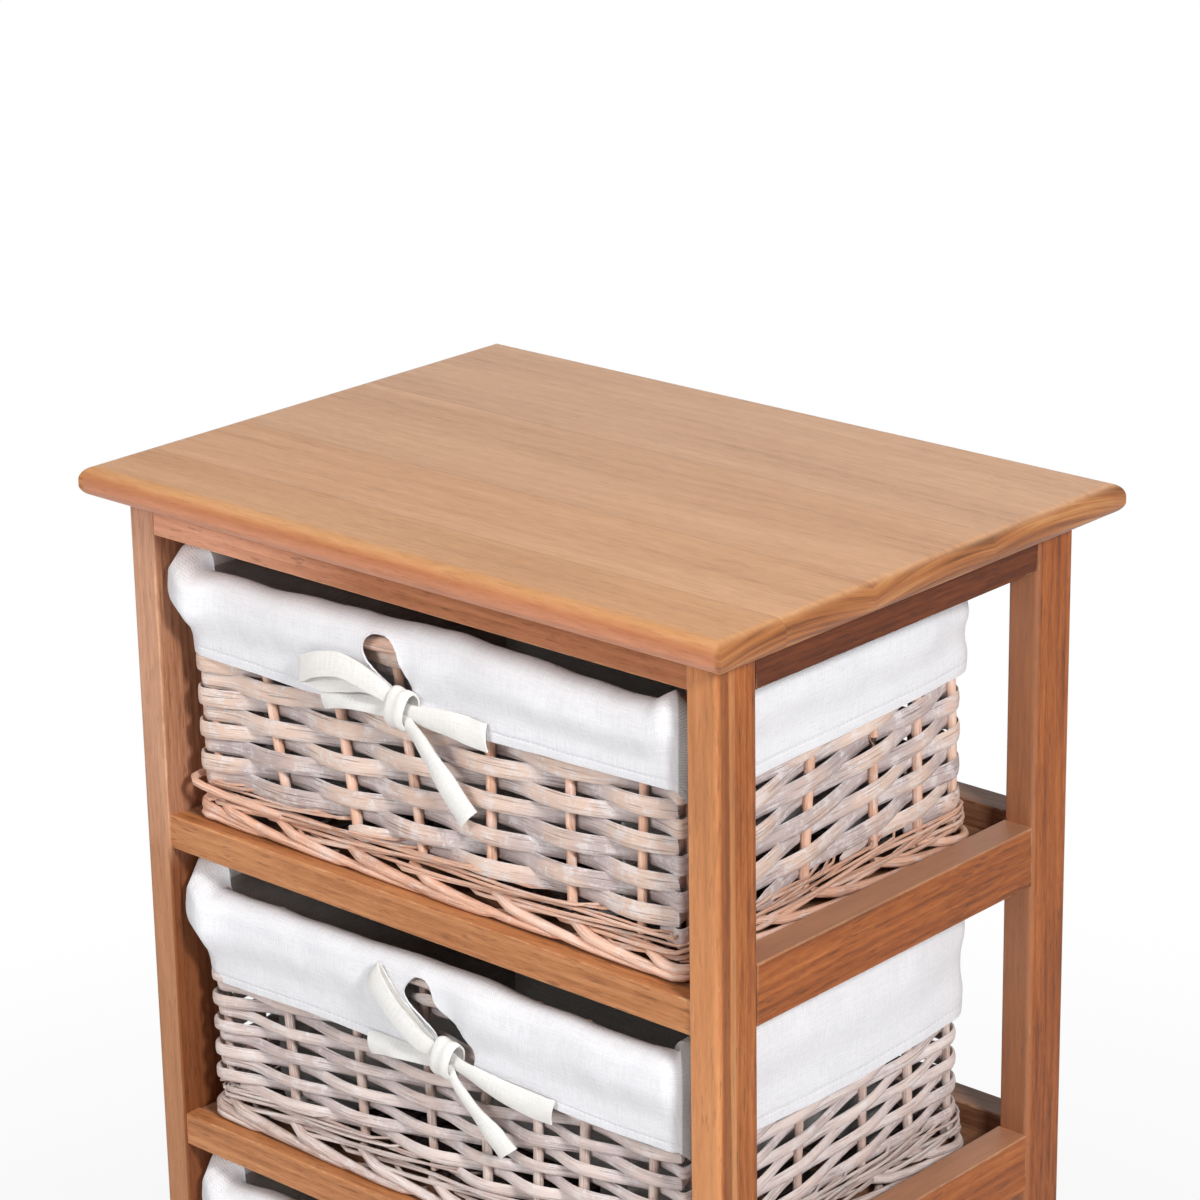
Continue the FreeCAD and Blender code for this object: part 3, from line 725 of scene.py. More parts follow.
def wale(basket, stakes):
    """Thin rods, one from each stake, that climb past their neighbours and twist in and out."""
    floor = floor_of(basket)
    gap = plan_run / len(stakes)
    share = np.linspace(0.0, 1.0, 40)
    routes = []
    for k, run in enumerate(np.concatenate([stakes, stakes + gap / 2])):
        length = gap * wale_gaps * chance.uniform(0.85, 1.15)
        along = run + chance.uniform(-0.008, 0.008) + length * share
        count = stake_count_at(along, stakes)
        swing = np.cos(math.pi * (count + k) * 2 / 3 + 0.6 * k)
        tuck = np.clip(1 - share / 0.08, 0, 1) + np.clip((share - 0.92) / 0.08, 0, 1)
        x, y = around(along, -0.0012 + 0.0022 * swing - 0.0085 * tuck)
        z = floor + wale_low + (wale_high - wale_low) * share
        z += 0.0007 * np.sin(math.pi * count * 2 / 3 + k) + 0.0005 * wander(along, k + 3.0, 0.05)
        radii = wale_rod_radius * chance.uniform(0.82, 1.15) * (1 - 0.35 * share)
        routes.append((x, y, z, radii, False))
    if basket == "basket_1":
        # A thicker rod that stands off in a loop at the left front corner
        along = np.linspace(-0.070, 0.050, 40)
        loop = np.exp(-((along + front_round) / 0.013) ** 2)
        x, y = around(along, 0.0007 + 0.0058 * loop)
        routes.append((x, y, floor + 0.0150 + 0.0050 * loop, 0.0019, False))
    return rods(basket + "_wale_rods", routes)


def border(basket, stakes, node):
    """The stakes' ends turned along the foot or the rim, each before its neighbours and then tucked in."""
    up = node == "rim"
    low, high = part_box(basket + "_" + node)
    tall = high.z - low.z - 0.0025 - border_rod_radius
    if up:
        crest = floor_of(basket) + min(line[1] for line in liner_lines[basket[-1]]["crest"])
        tall = crest - 0.0045 - low.z - border_rod_radius
    root = low.z + 0.0015 if up else high.z - 0.0025
    way = 1 if up else -1
    gap = plan_run / len(stakes)
    share = np.linspace(0.0, 1.0, 34)
    routes = []
    for run in stakes:
        length = gap * border_stretch * chance.uniform(0.92, 1.08)
        fall = share if up else 1 - (1 - np.clip(share / 0.75, 0, 1)) ** 2
        tuck = np.clip((share - 0.86) / 0.14, 0, 1) ** 2
        start = np.clip(1 - share / 0.14, 0, 1)
        out = 0.0014 - 0.0060 * start - 0.0058 * tuck
        along = run + length * share
        if up:
            out = out - rear_draw * smooth_step(around(along, 0.0)[1], 0.030, 0.080)
        x, y = around(along, out + chance.uniform(-0.0004, 0.0004))
        radii = border_rod_radius * chance.uniform(0.88, 1.08) * (1 - 0.22 * share)
        z = root + way * tall * fall + 0.0006 * wander(along, 9.0 + run * 40, 0.05)
        routes.append((x, y, z, radii, False))
    return rods(basket + "_" + node + "_rods", routes)


def base(basket):
    """A woven base: sticks along the width, with thin rods over and under them along the depth."""
    low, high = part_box(basket + "_base")
    middle = (low.z + high.z) / 2
    sticks = np.arange(low.y + base_stick_gap / 2, high.y, base_stick_gap)
    routes = []
    for y in sticks:
        routes.append((np.linspace(low.x, high.x, 24), y, middle, base_stick_radius, False))
    y = low.y + (high.y - low.y) * np.linspace(0.0, 1.0, 60)
    for k, x in enumerate(np.arange(low.x + base_rod_gap / 2, high.x, base_rod_gap)):
        swing = np.cos(math.pi * ((y - sticks[0]) / base_stick_gap + k))
        radius = base_rod_radius * chance.uniform(0.75, 1.0)
        routes.append((x, y, middle + base_rod_swing * swing, radius, False))
    return rods(basket + "_base_rods", routes)


# Cloth: a grid laid by a rule that turns its shares along and across into a place
def sheet(name, columns, rows, place, size, spread=None):
    """A grid of cloth, with its UV in metres and its rows and columns closer where spread says so."""
    deselect()
    bpy.ops.mesh.primitive_grid_add(x_subdivisions=columns, y_subdivisions=rows, size=1.0)
    piece = bpy.context.object
    piece.name = name
    mesh = piece.data
    shares = vertex_spots(mesh)[:, :2] + 0.5
    corner = np.empty(len(mesh.loops) * 2, np.float32)
    mesh.uv_layers[0].data.foreach_get("uv", corner)
    corner = corner.reshape(-1, 2)
    for k, marks in enumerate(spread or ()):
        shares[:, k] = np.interp(shares[:, k], *marks)
        corner[:, k] = np.interp(corner[:, k], *marks)
    points = place(shares[:, 0], shares[:, 1])
    mesh.vertices.foreach_set("co", points.astype(np.float32).ravel())
    mesh.uv_layers[0].data.foreach_set("uv", (corner * size).astype(np.float32).ravel())
    mesh.update()
    return piece


def weld(piece):
    """Joins the points that lie on each other and turns the faces outwards."""
    bpy.ops.object.mode_set(mode="EDIT")
    bpy.ops.mesh.select_all(action="SELECT")
    bpy.ops.mesh.remove_doubles(threshold=0.00002)
    bpy.ops.mesh.normals_make_consistent(inside=False)
    bpy.ops.object.mode_set(mode="OBJECT")


def apply(piece, kind, **settings):
    """Adds a modifier, sets it and applies it."""
    modifier = piece.modifiers.new(kind.lower(), kind)
    for name, value in settings.items():
        setattr(modifier, name, value)
    bpy.context.view_layer.objects.active = piece
    bpy.ops.object.modifier_apply(modifier=modifier.name)


def smooth_step(values, low, high):
    share = np.clip((values - low) / (high - low), 0, 1)
    return share * share * (3 - 2 * share)


def crumple(points, scale, seed):
    """Soft random folds, from about -1 to 1."""
    places = points / scale + np.array([0, 0, seed])
    return np.array([noise.noise(Vector(place)) for place in places]) * 1.5


# Liners: the cut runs from the middle of the floor, up the wall, over the rim and down to the turned hem
cloth_thickness = 0.0008
bag_gap = 0.030
bag_round = 0.014
rim_inner = -0.0100
rim_cover = 0.0070
rim_arch = 0.0088
drawn_in = 0.0024
hem_turn = 0.0080
stitch_lift = 0.0060
stitch_length = 0.0030
twill_rib = 0.0007
flap_limit = 0.1652
left_lift = 0.0072
left_bulge = 0.0062
left_reach = 0.017
rear_flap_draw = 0.0018
rear_hem_draw = 0.0014
large_folds = 0.0013
small_folds = 0.00055
knot_rays = 0.0011
corner_seam = side_marks[1] + front_round * 0.7

# Heights above the basket's floor: the crest over the rim and the hem, along the front by x and the sides by y
liner_lines = {
    "1": {
        "crest": (
            (-0.158, 0.1272), (-0.107, 0.1274), (-0.054, 0.1288), (-0.002, 0.1317), (0.022, 0.1324), (0.047, 0.1317),
            (0.071, 0.1298), (0.118, 0.1290), (0.139, 0.1283), (0.147, 0.1340), (0.153, 0.1366), (0.160, 0.1335),
        ),
        "hem": ((-0.150, 0.0850), (-0.078, 0.0840), (0.162, 0.0915)),
        "side_crest": 0.1315,
        "side_hem": ((-0.110, 0.0830), (-0.069, 0.0833), (0.003, 0.0851), (0.083, 0.0879)),
    },
    "2": {
        "crest": (
            (-0.156, 0.1225), (-0.118, 0.1229), (-0.090, 0.1232), (-0.036, 0.1250), (0.016, 0.1259), (0.041, 0.1255),
            (0.066, 0.1243), (0.133, 0.1236), (0.145, 0.1256), (0.156, 0.1262),
        ),
        "hem": ((-0.150, 0.0748), (-0.088, 0.0777), (0.118, 0.0771), (0.158, 0.0784)),
        "side_crest": 0.1310,
        "side_hem": ((-0.110, 0.0730), (-0.067, 0.0716), (0.004, 0.0690), (0.093, 0.0730)),
    },
    "3": {
        "crest": ((-0.162, 0.1240), (-0.122, 0.1262), (-0.020, 0.1280), (0.060, 0.1275), (0.140, 0.1268)),
        "hem": ((-0.150, 0.0815), (-0.040, 0.0800), (0.060, 0.0828), (0.158, 0.0840)),
        "side_crest": 0.1310,
        "side_hem": ((-0.110, 0.0810), (0.000, 0.0795), (0.093, 0.0820)),
    },
}


def bump_at(run, centre, width):
    """1 at a run and soon 0 away from it, the shorter way round the plan."""
    away = np.mod(run - centre + plan_run / 2, plan_run) - plan_run / 2
    return np.exp(-(away / width) ** 2)


def liner(basket):
    """The sewn cotton liner, from the bag's floor to the hem that is turned in under the flap."""
    number = basket[-1]
    lines = liner_lines[number]
    floor = floor_of(basket)
    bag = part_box("liner_" + number)[0].z + 0.0006
    knot = knot_place(number)
    wall_out = -weave_thickness - bag_gap
    typical_wall = floor + lines["side_crest"] - rim_arch - bag - bag_round
    typical_flap = lines["side_crest"] - rim_arch - lines["side_hem"][0][1]
    reach = rim_cover - rim_inner
    floor_x, floor_y = half_x + wall_out - bag_round, half_y + wall_out - bag_round
    parts = np.array([floor_y, bag_round * 1.57, typical_wall, reach * 1.5, typical_flap, hem_turn])
    marks = np.concatenate([[0.0], np.cumsum(parts)])

    def place(u, v):
        run = u * plan_run
        walk = v * marks[-1]
        side_x, side_y = around(run, 0.0)
        on_front = smooth_step(plan_y - side_y, front_reach + 0.001, half_y - 0.0005)
        front_crest = np.interp(side_x, *zip(*lines["crest"]))
        crest = lines["side_crest"] + (front_crest - lines["side_crest"]) * on_front
        on_left = smooth_step(-side_x, half_x - 0.006, half_x - 0.001) * (1 - smooth_step(side_y, 0.0, 0.085))
        crest = floor + crest + left_lift * on_left + 0.0009 * closed_wander(run, 5.0 + ord(number), 0.022)
        side_hem = np.interp(side_y, *zip(*lines["side_hem"]))
        hem = floor + side_hem + (np.interp(side_x, *zip(*lines["hem"])) - side_hem) * on_front
        walked = [np.clip((walk - mark) / part, 0, 1) for mark, part in zip(marks, parts)]
        centre, curl, rise, arch, fall, turn = walked
        over = crest - rim_arch
        out = wall_out - bag_round * (1 - np.sin(curl * math.pi / 2))
        out = out + (rim_inner - wall_out) * smooth_step(rise, 0.40, 1.0)
        out = out + reach / 2 * (1 - np.cos(arch * math.pi))
        z = bag + bag_round * (1 - np.cos(curl * math.pi / 2)) + (over - bag - bag_round) * rise
        z = z + np.sin(arch * math.pi) * rim_arch
        z = z + (hem - over) * fall + hem_turn * turn
        pull = smooth_step(fall, 0.15, 0.66)
        out = out + (drawn_in - rim_cover) * pull + 0.0010 * np.sin(math.pi * fall)
        outer = smooth_step(arch, 0.35, 1.0)
        loose = outer * (1 - smooth_step(fall, 0.30, 0.80))
        out = out + left_bulge * bump_at(run, plan_run - front_round * 1.2, left_reach) * loose
        draw = (rear_draw + rear_flap_draw) * loose + rear_hem_draw * (outer - loose)
        out = out - draw * smooth_step(side_y, 0.035, 0.085)
        seam = 0.0009 * bump_at(run, corner_seam + 0.0042, 0.0022) - 0.0013 * bump_at(run, corner_seam, 0.0017)
        out = out + seam * outer
        out = out - 0.0011 * np.minimum(turn * 4, 1)
        x, y = around(run, out)
        x = x * centre
        y = plan_y + (y - plan_y) * centre
        points = np.column_stack([x, y, z])
        away = np.hypot(x - knot.x, z - knot.z)
        angle = np.arctan2(z - knot.z, x - knot.x)
        rays = np.exp(-away / 0.040) * np.cos(6 * angle + 0.8) * on_front
        soft = outer * (1 - 0.55 * pull) + 0.5 * np.sin(math.pi * rise)
        folds = large_folds * crumple(points, 0.045, 1.0 + ord(number)) + small_folds * crumple(points, 0.017, 6.0)
        move = folds * soft + knot_rays * rays * outer
        step = np.subtract(around(run, out + 0.001), around(run, out)) * 1000
        points[:, :2] += (step * move * centre).T
        points[:, 2] += np.abs(crumple(points, 0.09, 4.0 + ord(number))) * 0.004 * (1 - centre)
        points[:, 0] = np.clip(points[:, 0], -flap_limit, flap_limit)
        return points

    columns = ((0, 0.42, 0.64, 1), (0, side_marks[2] / plan_run, side_marks[4] / plan_run, 1))
    rows = ((0, 0.10, 0.16, 0.30, 0.58, 0.94, 1), marks / marks[-1])
    piece = sheet("liner_cloth_" + number, 330, 92, place, (plan_run, marks[-1]), (columns, rows))
    weld(piece)
    slot_cut(piece, number)
    apply(piece, "SOLIDIFY", thickness=cloth_thickness, offset=0.0)
    deselect()
    piece.select_set(True)
    bpy.context.view_layer.objects.active = piece
    bpy.ops.object.shade_smooth_by_angle(angle=math.radians(60))
    return piece, marks[5] - stitch_lift, marks[3]


# Cut-outs: their outline as seen from the front, x and height above the basket's floor in millimetres
slots = {
    "1": [(-21, 126), (-27, 123.5), (-30.5, 117.5), (-28, 110), (-22, 103), (-14, 97), (-10, 90), (-4, 89),
          (-2.5, 98), (-4.5, 104), (-7, 112), (-9.5, 120), (-14, 124.8)],
    "2": [(-2, 120.6), (-7, 119), (-13, 112), (-12, 107), (-5, 99.5), (3, 92.5), (8, 84), (16, 81), (26, 82),
          (29, 87), (25, 96), (19, 103), (11, 108), (7, 111.5), (4.5, 117.5), (2, 120)],
    "3": [(-13, 123), (-19, 120), (-22, 114), (-20, 107), (-14, 100), (-7, 93), (-3, 86), (4, 86),
          (5, 94), (3, 102), (0, 110), (-2.5, 117), (-7, 122)],
}
knots = {"1": (-7.5, 93.0), "2": (14.5, 85.3), "3": (1.0, 88.0)}
knot_gap = 0.0078


def knot_place(number):
    """The middle of a bow's knot, before the flap."""
    x, up = knots[number]
    return Vector((x / 1000, front_y - knot_gap, floor_of("basket_" + number) + up / 1000))


def within(points, ring):
    """Which points of a plane lie inside a closed outline."""
    x, y = points[:, :1], points[:, 1:]
    ax, ay = ring.T
    bx, by = np.roll(ring, -1, axis=0).T
    crossed = (ay > y) != (by > y)
    reach = ax + (y - ay) * (bx - ax) / np.where(by == ay, 1e-12, by - ay)
    return (crossed & (x < reach)).sum(1) % 2 == 1


def slot_cut(piece, number):
    """Cuts the teardrop out of the flap: the faces inside go, and the edge left is drawn onto the outline."""
    floor = floor_of("basket_" + number)
    points = slots[number]
    ring = flowing(points[-2:] + points + points[:2], 16 * len(points) + 49)[32:-17] / 1000
    mesh = piece.data
    spots = vertex_spots(mesh)
    front = np.flatnonzero((spots[:, 1] < front_y + 0.003) & (np.abs(spots[:, 0]) < 0.05))
    seen = spots[front][:, [0, 2]] - np.array([0, floor])
    hit = within(seen, ring)
    inside = np.zeros(len(spots), bool)
    inside[front[hit]] = True
    nearest = ring[np.argmin(((seen[hit][:, None] - ring[None]) ** 2).sum(2), axis=1)]
    spots[front[hit], 0] = nearest[:, 0]
    spots[front[hit], 2] = nearest[:, 1] + floor
    corners = np.empty(len(mesh.loops), np.int64)
    mesh.loops.foreach_get("vertex_index", corners)
    starts = np.empty(len(mesh.polygons), np.int64)
    mesh.polygons.foreach_get("loop_start", starts)
    gone = np.logical_and.reduceat(inside[corners], starts)
    mesh.vertices.foreach_set("co", spots.astype(np.float32).ravel())
    bpy.ops.object.mode_set(mode="EDIT")
    bpy.ops.mesh.select_mode(type="FACE")
    bpy.ops.mesh.select_all(action="DESELECT")
    bpy.ops.object.mode_set(mode="OBJECT")
    mesh.polygons.foreach_set("select", gone)
    bpy.ops.object.mode_set(mode="EDIT")
    bpy.ops.mesh.delete(type="FACE")
    bpy.ops.object.mode_set(mode="OBJECT")


tape_width = 0.0128
tape_thickness = 0.0009
knot_depth = 0.0048
knot_turn = 0.048

# Each tape as points from the knot: right, forward and up in millimetres, its width as a share and its twist
bows = {
    "1": {
        "loop": [
            (0, 1, 3, .5, 0), (-12, 3.5, 9, .8, 5), (-33, 4.5, 14, .9, 6), (-50, 4.5, 11, .98, 3),
            (-60, 3.2, 6.5, 1, 0), (-63.5, 2, 4.5, .95, 0), (-60, -.3, 2.5, .9, 0), (-50, -.8, 2, .9, 10),
            (-34, -.5, 5, .85, 20), (-21, 0, 7, .7, 10), (-8, 0, 4, .6, 0), (0, 0, 1, .5, 0),
        ],
        "side_end": [
            (0, 0, -1, .5, 0), (-14, 0, -3, .6, 25), (-30, -.3, -4.2, .62, 35), (-44, -.8, -5.5, .8, 15),
            (-53, -1.5, -7.5, .9, 0),
        ],
        "tail": [
            (0, 0, -1, .6, 0), (10, .8, -1.2, .75, 10), (28, .6, -.5, .95, 0), (42, 0, -1.5, 1.02, -5),
            (52, -.8, -2.5, 1.06, 0),
        ],
        "drop": [
            (1, 1, -4, .6, 0), (9, 1.5, -10, .8, 15), (17, .5, -20, .9, 8), (27, -1, -33, 1, 0),
            (37.7, -2.5, -46, 1.08, 0),
        ],
    },
    "2": {
        "loop": [
            (-1, 1, 2, .55, 0), (-11.5, 4, 5.5, .8, 0), (-20, 5, 11, .85, 0), (-30.5, 5.5, 18.5, .9, 0),
            (-40, 5, 28, .95, 0), (-44, 3, 32, .95, 0), (-44, .8, 30.5, .9, 0), (-37, -.2, 20.5, .9, 5),
            (-26, -.2, 12.5, .8, 10), (-12, 0, 5, .6, 0), (-1, 0, 1, .5, 0),
        ],
        "side_end": [
            (0, 0, -1, .5, 0), (-14, 0, -4, .62, 20), (-32, -.4, -6.3, .62, 30), (-45, -1, -7.2, .8, 10),
            (-53, -1.6, -9, .85, 0),
        ],
        "tail": [
            (0, 0, 0, .6, 0), (14, .5, -3, .72, 12), (34, 0, -6.5, .92, 0), (54, -.6, -8.3, 1, 0),
            (65, -1.2, -8.5, 1.02, 0),
        ],
        "drop": [
            (1, 1, -4, .5, 0), (7, 1.5, -12, .6, 10), (16, 0, -22, .75, 10), (27, -1.5, -32, .95, 0),
            (35, -2.5, -39.6, 1.05, 0),
        ],
    },
}
bows["3"] = bows["1"]


def flowing(points, count):
    """A smooth line through points, by a spline that passes through each."""
    points = np.array(points, float)
    padded = np.vstack([2 * points[0] - points[1], points, 2 * points[-1] - points[-2]])
    share = np.linspace(0, len(points) - 1 - 1e-9, count)
    k = share.astype(int)
    t = (share - k)[:, None]
    a, b, c, d = padded[k], padded[k + 1], padded[k + 2], padded[k + 3]
    return 0.5 * (2 * b + (c - a) * t + (2 * a - 5 * b + 4 * c - d) * t ** 2 + (3 * b - a - 3 * c + d) * t ** 3)


def tape(name, knot, points, cup):
    """One length of tape from the knot, its width square to its run and turned by its twist."""
    count = 72
    line = flowing(points, count + 1)
    middle = np.column_stack([line[:, 0], -line[:, 1], line[:, 2]]) * 0.001 + np.array(knot)
    run = np.array(points[len(points) // 2][:3]) - np.array(points[0][:3])
    across = np.array([-run[2], 0, run[0]]) / math.hypot(run[0], run[2])
    length = np.linalg.norm(np.diff(middle, axis=0), axis=1).sum()
    marks = np.linspace(0, 1, count + 1)

    def place(u, v):
        spots = np.stack([np.interp(u, marks, middle[:, k]) for k in range(3)], 1)
        side = (v - 0.5) * np.interp(u, marks, line[:, 3]) * tape_width
        twist = np.radians(np.interp(u, marks, line[:, 4]))
        curve = (v - 0.5) ** 2 * 0.006 * cup + 0.0004 * np.sin(u * 17.0 + 2.0) * (v - 0.3)
        forward = curve - side * np.sin(twist)
        return spots + across * (side * np.cos(twist))[:, None] + np.array([0, 1, 0]) * forward[:, None]

    return sheet(name, count, 8, place, (length, tape_width)), length


def knot_band(name, knot):
    """The turn of tape that ties the bow, wound over the other lengths and gathered a little."""
    def place(u, v):
        turn = u * 2 * math.pi
        tall = 0.0100 + 0.0007 * np.sin(2 * turn)
        side = (v - 0.5) * tape_width * (0.98 - 0.14 * np.cos(turn))
        squeeze = 1 - 0.12 * (2 * v - 1) ** 2 + 0.05 * np.sin(9.0 * v + 1.3 * np.cos(turn))
        up = tall * np.sin(turn) * squeeze - 0.1 * side
        x = knot.x + side + 0.0012 * np.sin(turn) + 0.14 * up
        y = knot.y - knot_depth * np.cos(turn) * squeeze
        return np.column_stack([x, y, knot.z + up])

    return sheet(name, 56, 14, place, (knot_turn, tape_width)), knot_turn


def bow(number):
    """A tied bow: the loop, the two ends and the drop of tape, and the turn that holds them."""
    knot = knot_place(number)
    name = "bow_" + number
    parts = [
        tape(name + "_" + part, knot, points, 0.4 if part == "loop" else 1) for part, points in bows[number].items()
    ]
    parts.append(knot_band(name, knot))
    deselect()
    for piece, length in parts:
        piece.select_set(True)
    bpy.context.view_layer.objects.active = parts[-1][0]
    bpy.ops.object.join()
    piece = bpy.context.object
    piece.name = name
    weld(piece)
    apply(piece, "SOLIDIFY", thickness=tape_thickness, offset=0.0)
    bpy.ops.object.shade_smooth_by_angle(angle=math.radians(50))
    return piece


def cotton_finish(name, colour, thread, fuzz, stitch=None, bag=None):
    """Plain-woven cotton: threads over and under each other, with slubs, soft stains, a stitched hem, and a grey twill
    on the bag and past the corner seam that is partly painted shade.
    """
    material, shader, wire = finish(name)
    uv = wire.node("TexCoord", out=2)
    spot = wire.spot()
    along, down, _ = uv.split()
    weave = (along * (math.pi / thread)).alone("SINE") * (down * (math.pi / thread)).alone("SINE")
    slub = wire.speckle(uv, 1 / (thread * 3), 3.0, 0.7)
    cloud = wire.speckle(spot, 22.0, 3.0)
    coarse, fine = 1 / (thread * 22), 1 / (thread * 1.3)
    warp_slub = wire.drawn(along * coarse, down * fine, 0.0, 2.0, 0.6)
    weft_slub = wire.drawn(along * fine, down * coarse, 4.0, 2.0, 0.6)
    shade = weave * 0.10 + slub * 0.25 + warp_slub * 0.35 + weft_slub * 0.35 + cloud * 0.15
    colour = shade.ramp([(0.30, tuple(c * 0.80 for c in colour)), (0.62, colour)])
    height = weave * 0.5 + slub * fuzz + warp_slub + weft_slub
    if stitch:
        line = (down - stitch).alone("ABSOLUTE")
        dash = (along / stitch_length).alone("FRACT").step(0.30, 0.42)
        sewn = (1 - line.step(0.00025, 0.0006)) * dash
        colour = (sewn * 0.16).tint(colour, srgb(170, 166, 162))
        height = height - (1 - line.step(0.0003, 0.0014)) * 1.6
        # Painted shade: the bag below the rim is a grey twill, darker than the flap, so that the gaps of the weave
        # look shaded. The grey strip past the corner seam is partly the seam's twill and partly the post's shadow
        # painted on.
        past_seam = along - corner_seam
        strip = past_seam.between(0.0, 0.0006, 0.014, 0.018)
        grey_twill_and_shade = (1 - down.step(bag - 0.001, bag)).most(strip)
        rib = (along * 1.7 + down) * (math.pi / twill_rib) + slub * 6.0
        twill = rib.alone("SINE") * 0.25 + warp_slub
        colour = grey_twill_and_shade.tint(colour, twill.ramp([(0.2, srgb(160, 157, 156)), (0.8, srgb(192, 190, 188))]))
    bump = height.bump(0.45, 0.0005)
    plug(shader, Base_Color=colour, Roughness=0.92, Normal=bump, Sheen_Weight=0.15, Specular_IOR_Level=0.15)
    return material


def wear_piece(piece, material, basket, slot, *nodes):
    """Gives a piece its finish and its basket, and hides the solids it stands for."""
    piece.data.materials.clear()
    piece.data.materials.append(material)
    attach(piece, basket)
    if nodes:
        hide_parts(*nodes)


def shades(dark, middle, light):
    """Three colours along a rod's tone."""
    return [(0.05, srgb(*dark)), (0.48, srgb(*middle)), (0.95, srgb(*light))]


def make_baskets():
    """The willow, the liner and the bow of each basket."""
    grey = shades((178, 161, 159), (208, 191, 188), (226, 213, 211))
    tan = shades((206, 173, 156), (228, 199, 182), (242, 220, 207))
    orange = shades((192, 144, 120), (244, 194, 166), (252, 220, 202))
    pink = shades((192, 175, 172), (221, 205, 202), (233, 221, 219))
    pale = shades((204, 179, 169), (229, 209, 201), (241, 227, 221))
    rose = shades((178, 148, 136), (216, 190, 178), (234, 216, 206))
    upper = {
        "weave": willow_finish("split_willow", grey, tan, plan_run, 0.55, 0.9),
        "stake": willow_finish("stake_willow", orange, orange, 0.115, 0.35),
        "rod": willow_finish("border_willow", orange, orange, 0.14, 0.35),
    }
    lower = {
        "weave": willow_finish("pink_willow", pink, pale, plan_run, 0.5, 0.5),
        "stake": willow_finish("pink_stake_willow", rose, rose, 0.115, 0.4),
        "rod": willow_finish("pink_border_willow", rose, pale, 0.14, 0.45),
    }
    flat = willow_finish("base_willow", grey, tan, 0.25, 0.3)
    ribbon = cotton_finish("tie_cotton", srgb(253, 251, 247), 0.00045, 0.4)
    for basket in baskets:
        weave = weaves[basket]
        willow = upper if basket == "basket_1" else lower
        number = basket[-1]
        stakes, leans = stake_places(weave)
        section = section_curve(weave["section"])
        wear_piece(weavers(basket, weave, stakes, leans, section), willow["weave"], basket, "willow", basket + "_wall")
        bpy.data.objects.remove(section)
        wear_piece(uprights(basket, stakes, leans), willow["stake"], basket, "willow")
        wear_piece(wale(basket, stakes), willow["rod"], basket, "willow", basket + "_wale")
        for node in ("foot", "rim"):
            wear_piece(border(basket, stakes, node), willow["rod"], basket, "willow", basket + "_" + node)
        wear_piece(base(basket), flat, basket, "willow", basket + "_base")
        cloth, stitch, bag = liner(basket)
        cotton = cotton_finish("liner_cotton_" + number, srgb(249, 249, 253), 0.00062, 0.8, stitch, bag)
        wear_piece(cloth, cotton, basket, "liner_cotton", "liner_" + number)
        wear_piece(bow(number), ribbon, basket, "tie_cotton", "tie_" + number)


# Stage: a pale floor that fades into a white surround, soft lamps, and the camera of the photo
def looked_at(wire):
    """1 for what the camera sees, straight or by gloss or through clear things, and 0 for light alone."""
    camera, glossy, clear = (wire.node("LightPath", out=k) for k in (0, 3, 6))
    return camera.most(glossy).most(clear)


def backwards(azimuth, elevation):
    """The direction from the unit to something that looks at it, from angles in degrees."""
    a, e = math.radians(azimuth), math.radians(elevation)
    return Vector((math.sin(a) * math.cos(e), -math.cos(a) * math.cos(e), math.sin(e)))


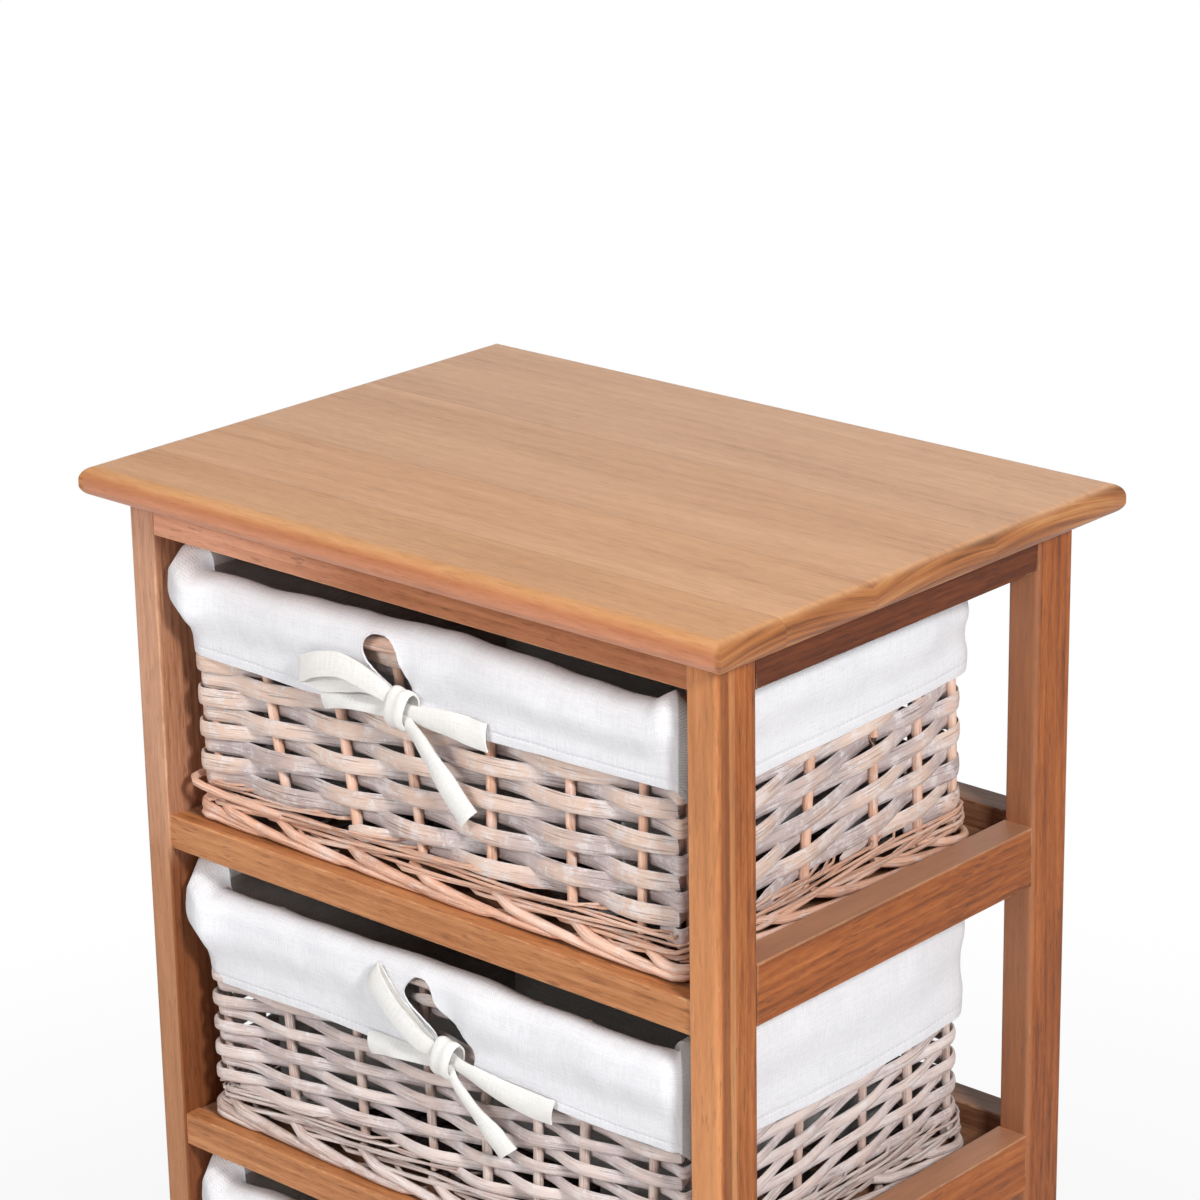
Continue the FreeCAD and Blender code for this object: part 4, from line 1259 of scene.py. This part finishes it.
def make_stage():
    deselect()
    bpy.ops.mesh.primitive_circle_add(vertices=96, radius=8.0, fill_type="NGON")
    floor = bpy.context.object
    floor.name = "floor"
    material, shader, wire = finish("floor_paper")
    spot = wire.spot()
    cloudy = wire.speckle(spot, 3.0)
    plug(shader, Base_Color=cloudy.ramp([(0.0, srgb(222, 222, 222)), (1.0, srgb(230, 230, 230))]), Roughness=0.9)
    glow = wire.node("Emission", None, {"Color": (1, 1, 1, 1), "Strength": 1.0})
    distance = wire.node("VectorMath", {"operation": "LENGTH"}, {0: spot}, 1)
    share = (distance.step(0.3, 0.9) * 0.12 + 0.88) * looked_at(wire)
    body = Wire(wire.tree, shader.outputs[0])
    mixed = wire.node("MixShader", None, {0: share, 1: body, 2: glow})
    wire.tree.links.new(mixed.socket, wire.tree.nodes["Material Output"].inputs["Surface"])
    floor.data.materials.append(material)
    world = bpy.data.worlds.new("white_surround")
    world.use_nodes = True
    bpy.context.scene.world = world
    wire = Wire(world.node_tree)
    ground = world.node_tree.nodes["Background"]
    ground.inputs["Color"].default_value = (1, 1, 1, 1)
    strength = looked_at(wire) * 0.83 + 0.17
    wire.tree.links.new(strength.socket, ground.inputs["Strength"])
    lamp("front", -5, 26, 2.6, 0.9, 26)
    lamp("overhead", 20, 75, 2.6, 1.2, 10)
    lamp("right", 68, 30, 2.6, 0.40, 48)


def lamp(name, azimuth, elevation, distance, size, power):
    """A soft square lamp that looks at the top of the unit."""
    aim = Vector((0, 0, 0.42))
    back = backwards(azimuth, elevation)
    bpy.ops.object.light_add(type="AREA", location=aim + back * distance)
    light = bpy.context.object
    light.name = name
    light.rotation_mode = "QUATERNION"
    light.rotation_quaternion = (-back).to_track_quat("-Z", "Y")
    light.data.size = size
    light.data.energy = power


def make_camera():
    """The photo's camera: where it stands, how it is turned and its lens for a square frame."""
    place = Vector((1.2000, -1.3205, 1.1138))
    back = backwards(42.218, 19.049)
    roll = math.radians(-0.9947)
    right = Vector((0, 0, 1)).cross(back).normalized()
    up = back.cross(right)
    x = right * math.cos(roll) + up * math.sin(roll)
    y = up * math.cos(roll) - right * math.sin(roll)
    bpy.ops.object.camera_add(location=place)
    camera = bpy.context.object
    camera.rotation_mode = "QUATERNION"
    camera.rotation_quaternion = Matrix((x, y, back)).transposed().to_quaternion()
    camera.data.sensor_width = 36.0
    camera.data.lens = 119.64
    bpy.context.scene.camera = camera
    bpy.context.scene.view_settings.view_transform = "Standard"


dress_frame()
dress_hardware()
make_baskets()
make_stage()
make_camera()
bpy.context.view_layer.update()
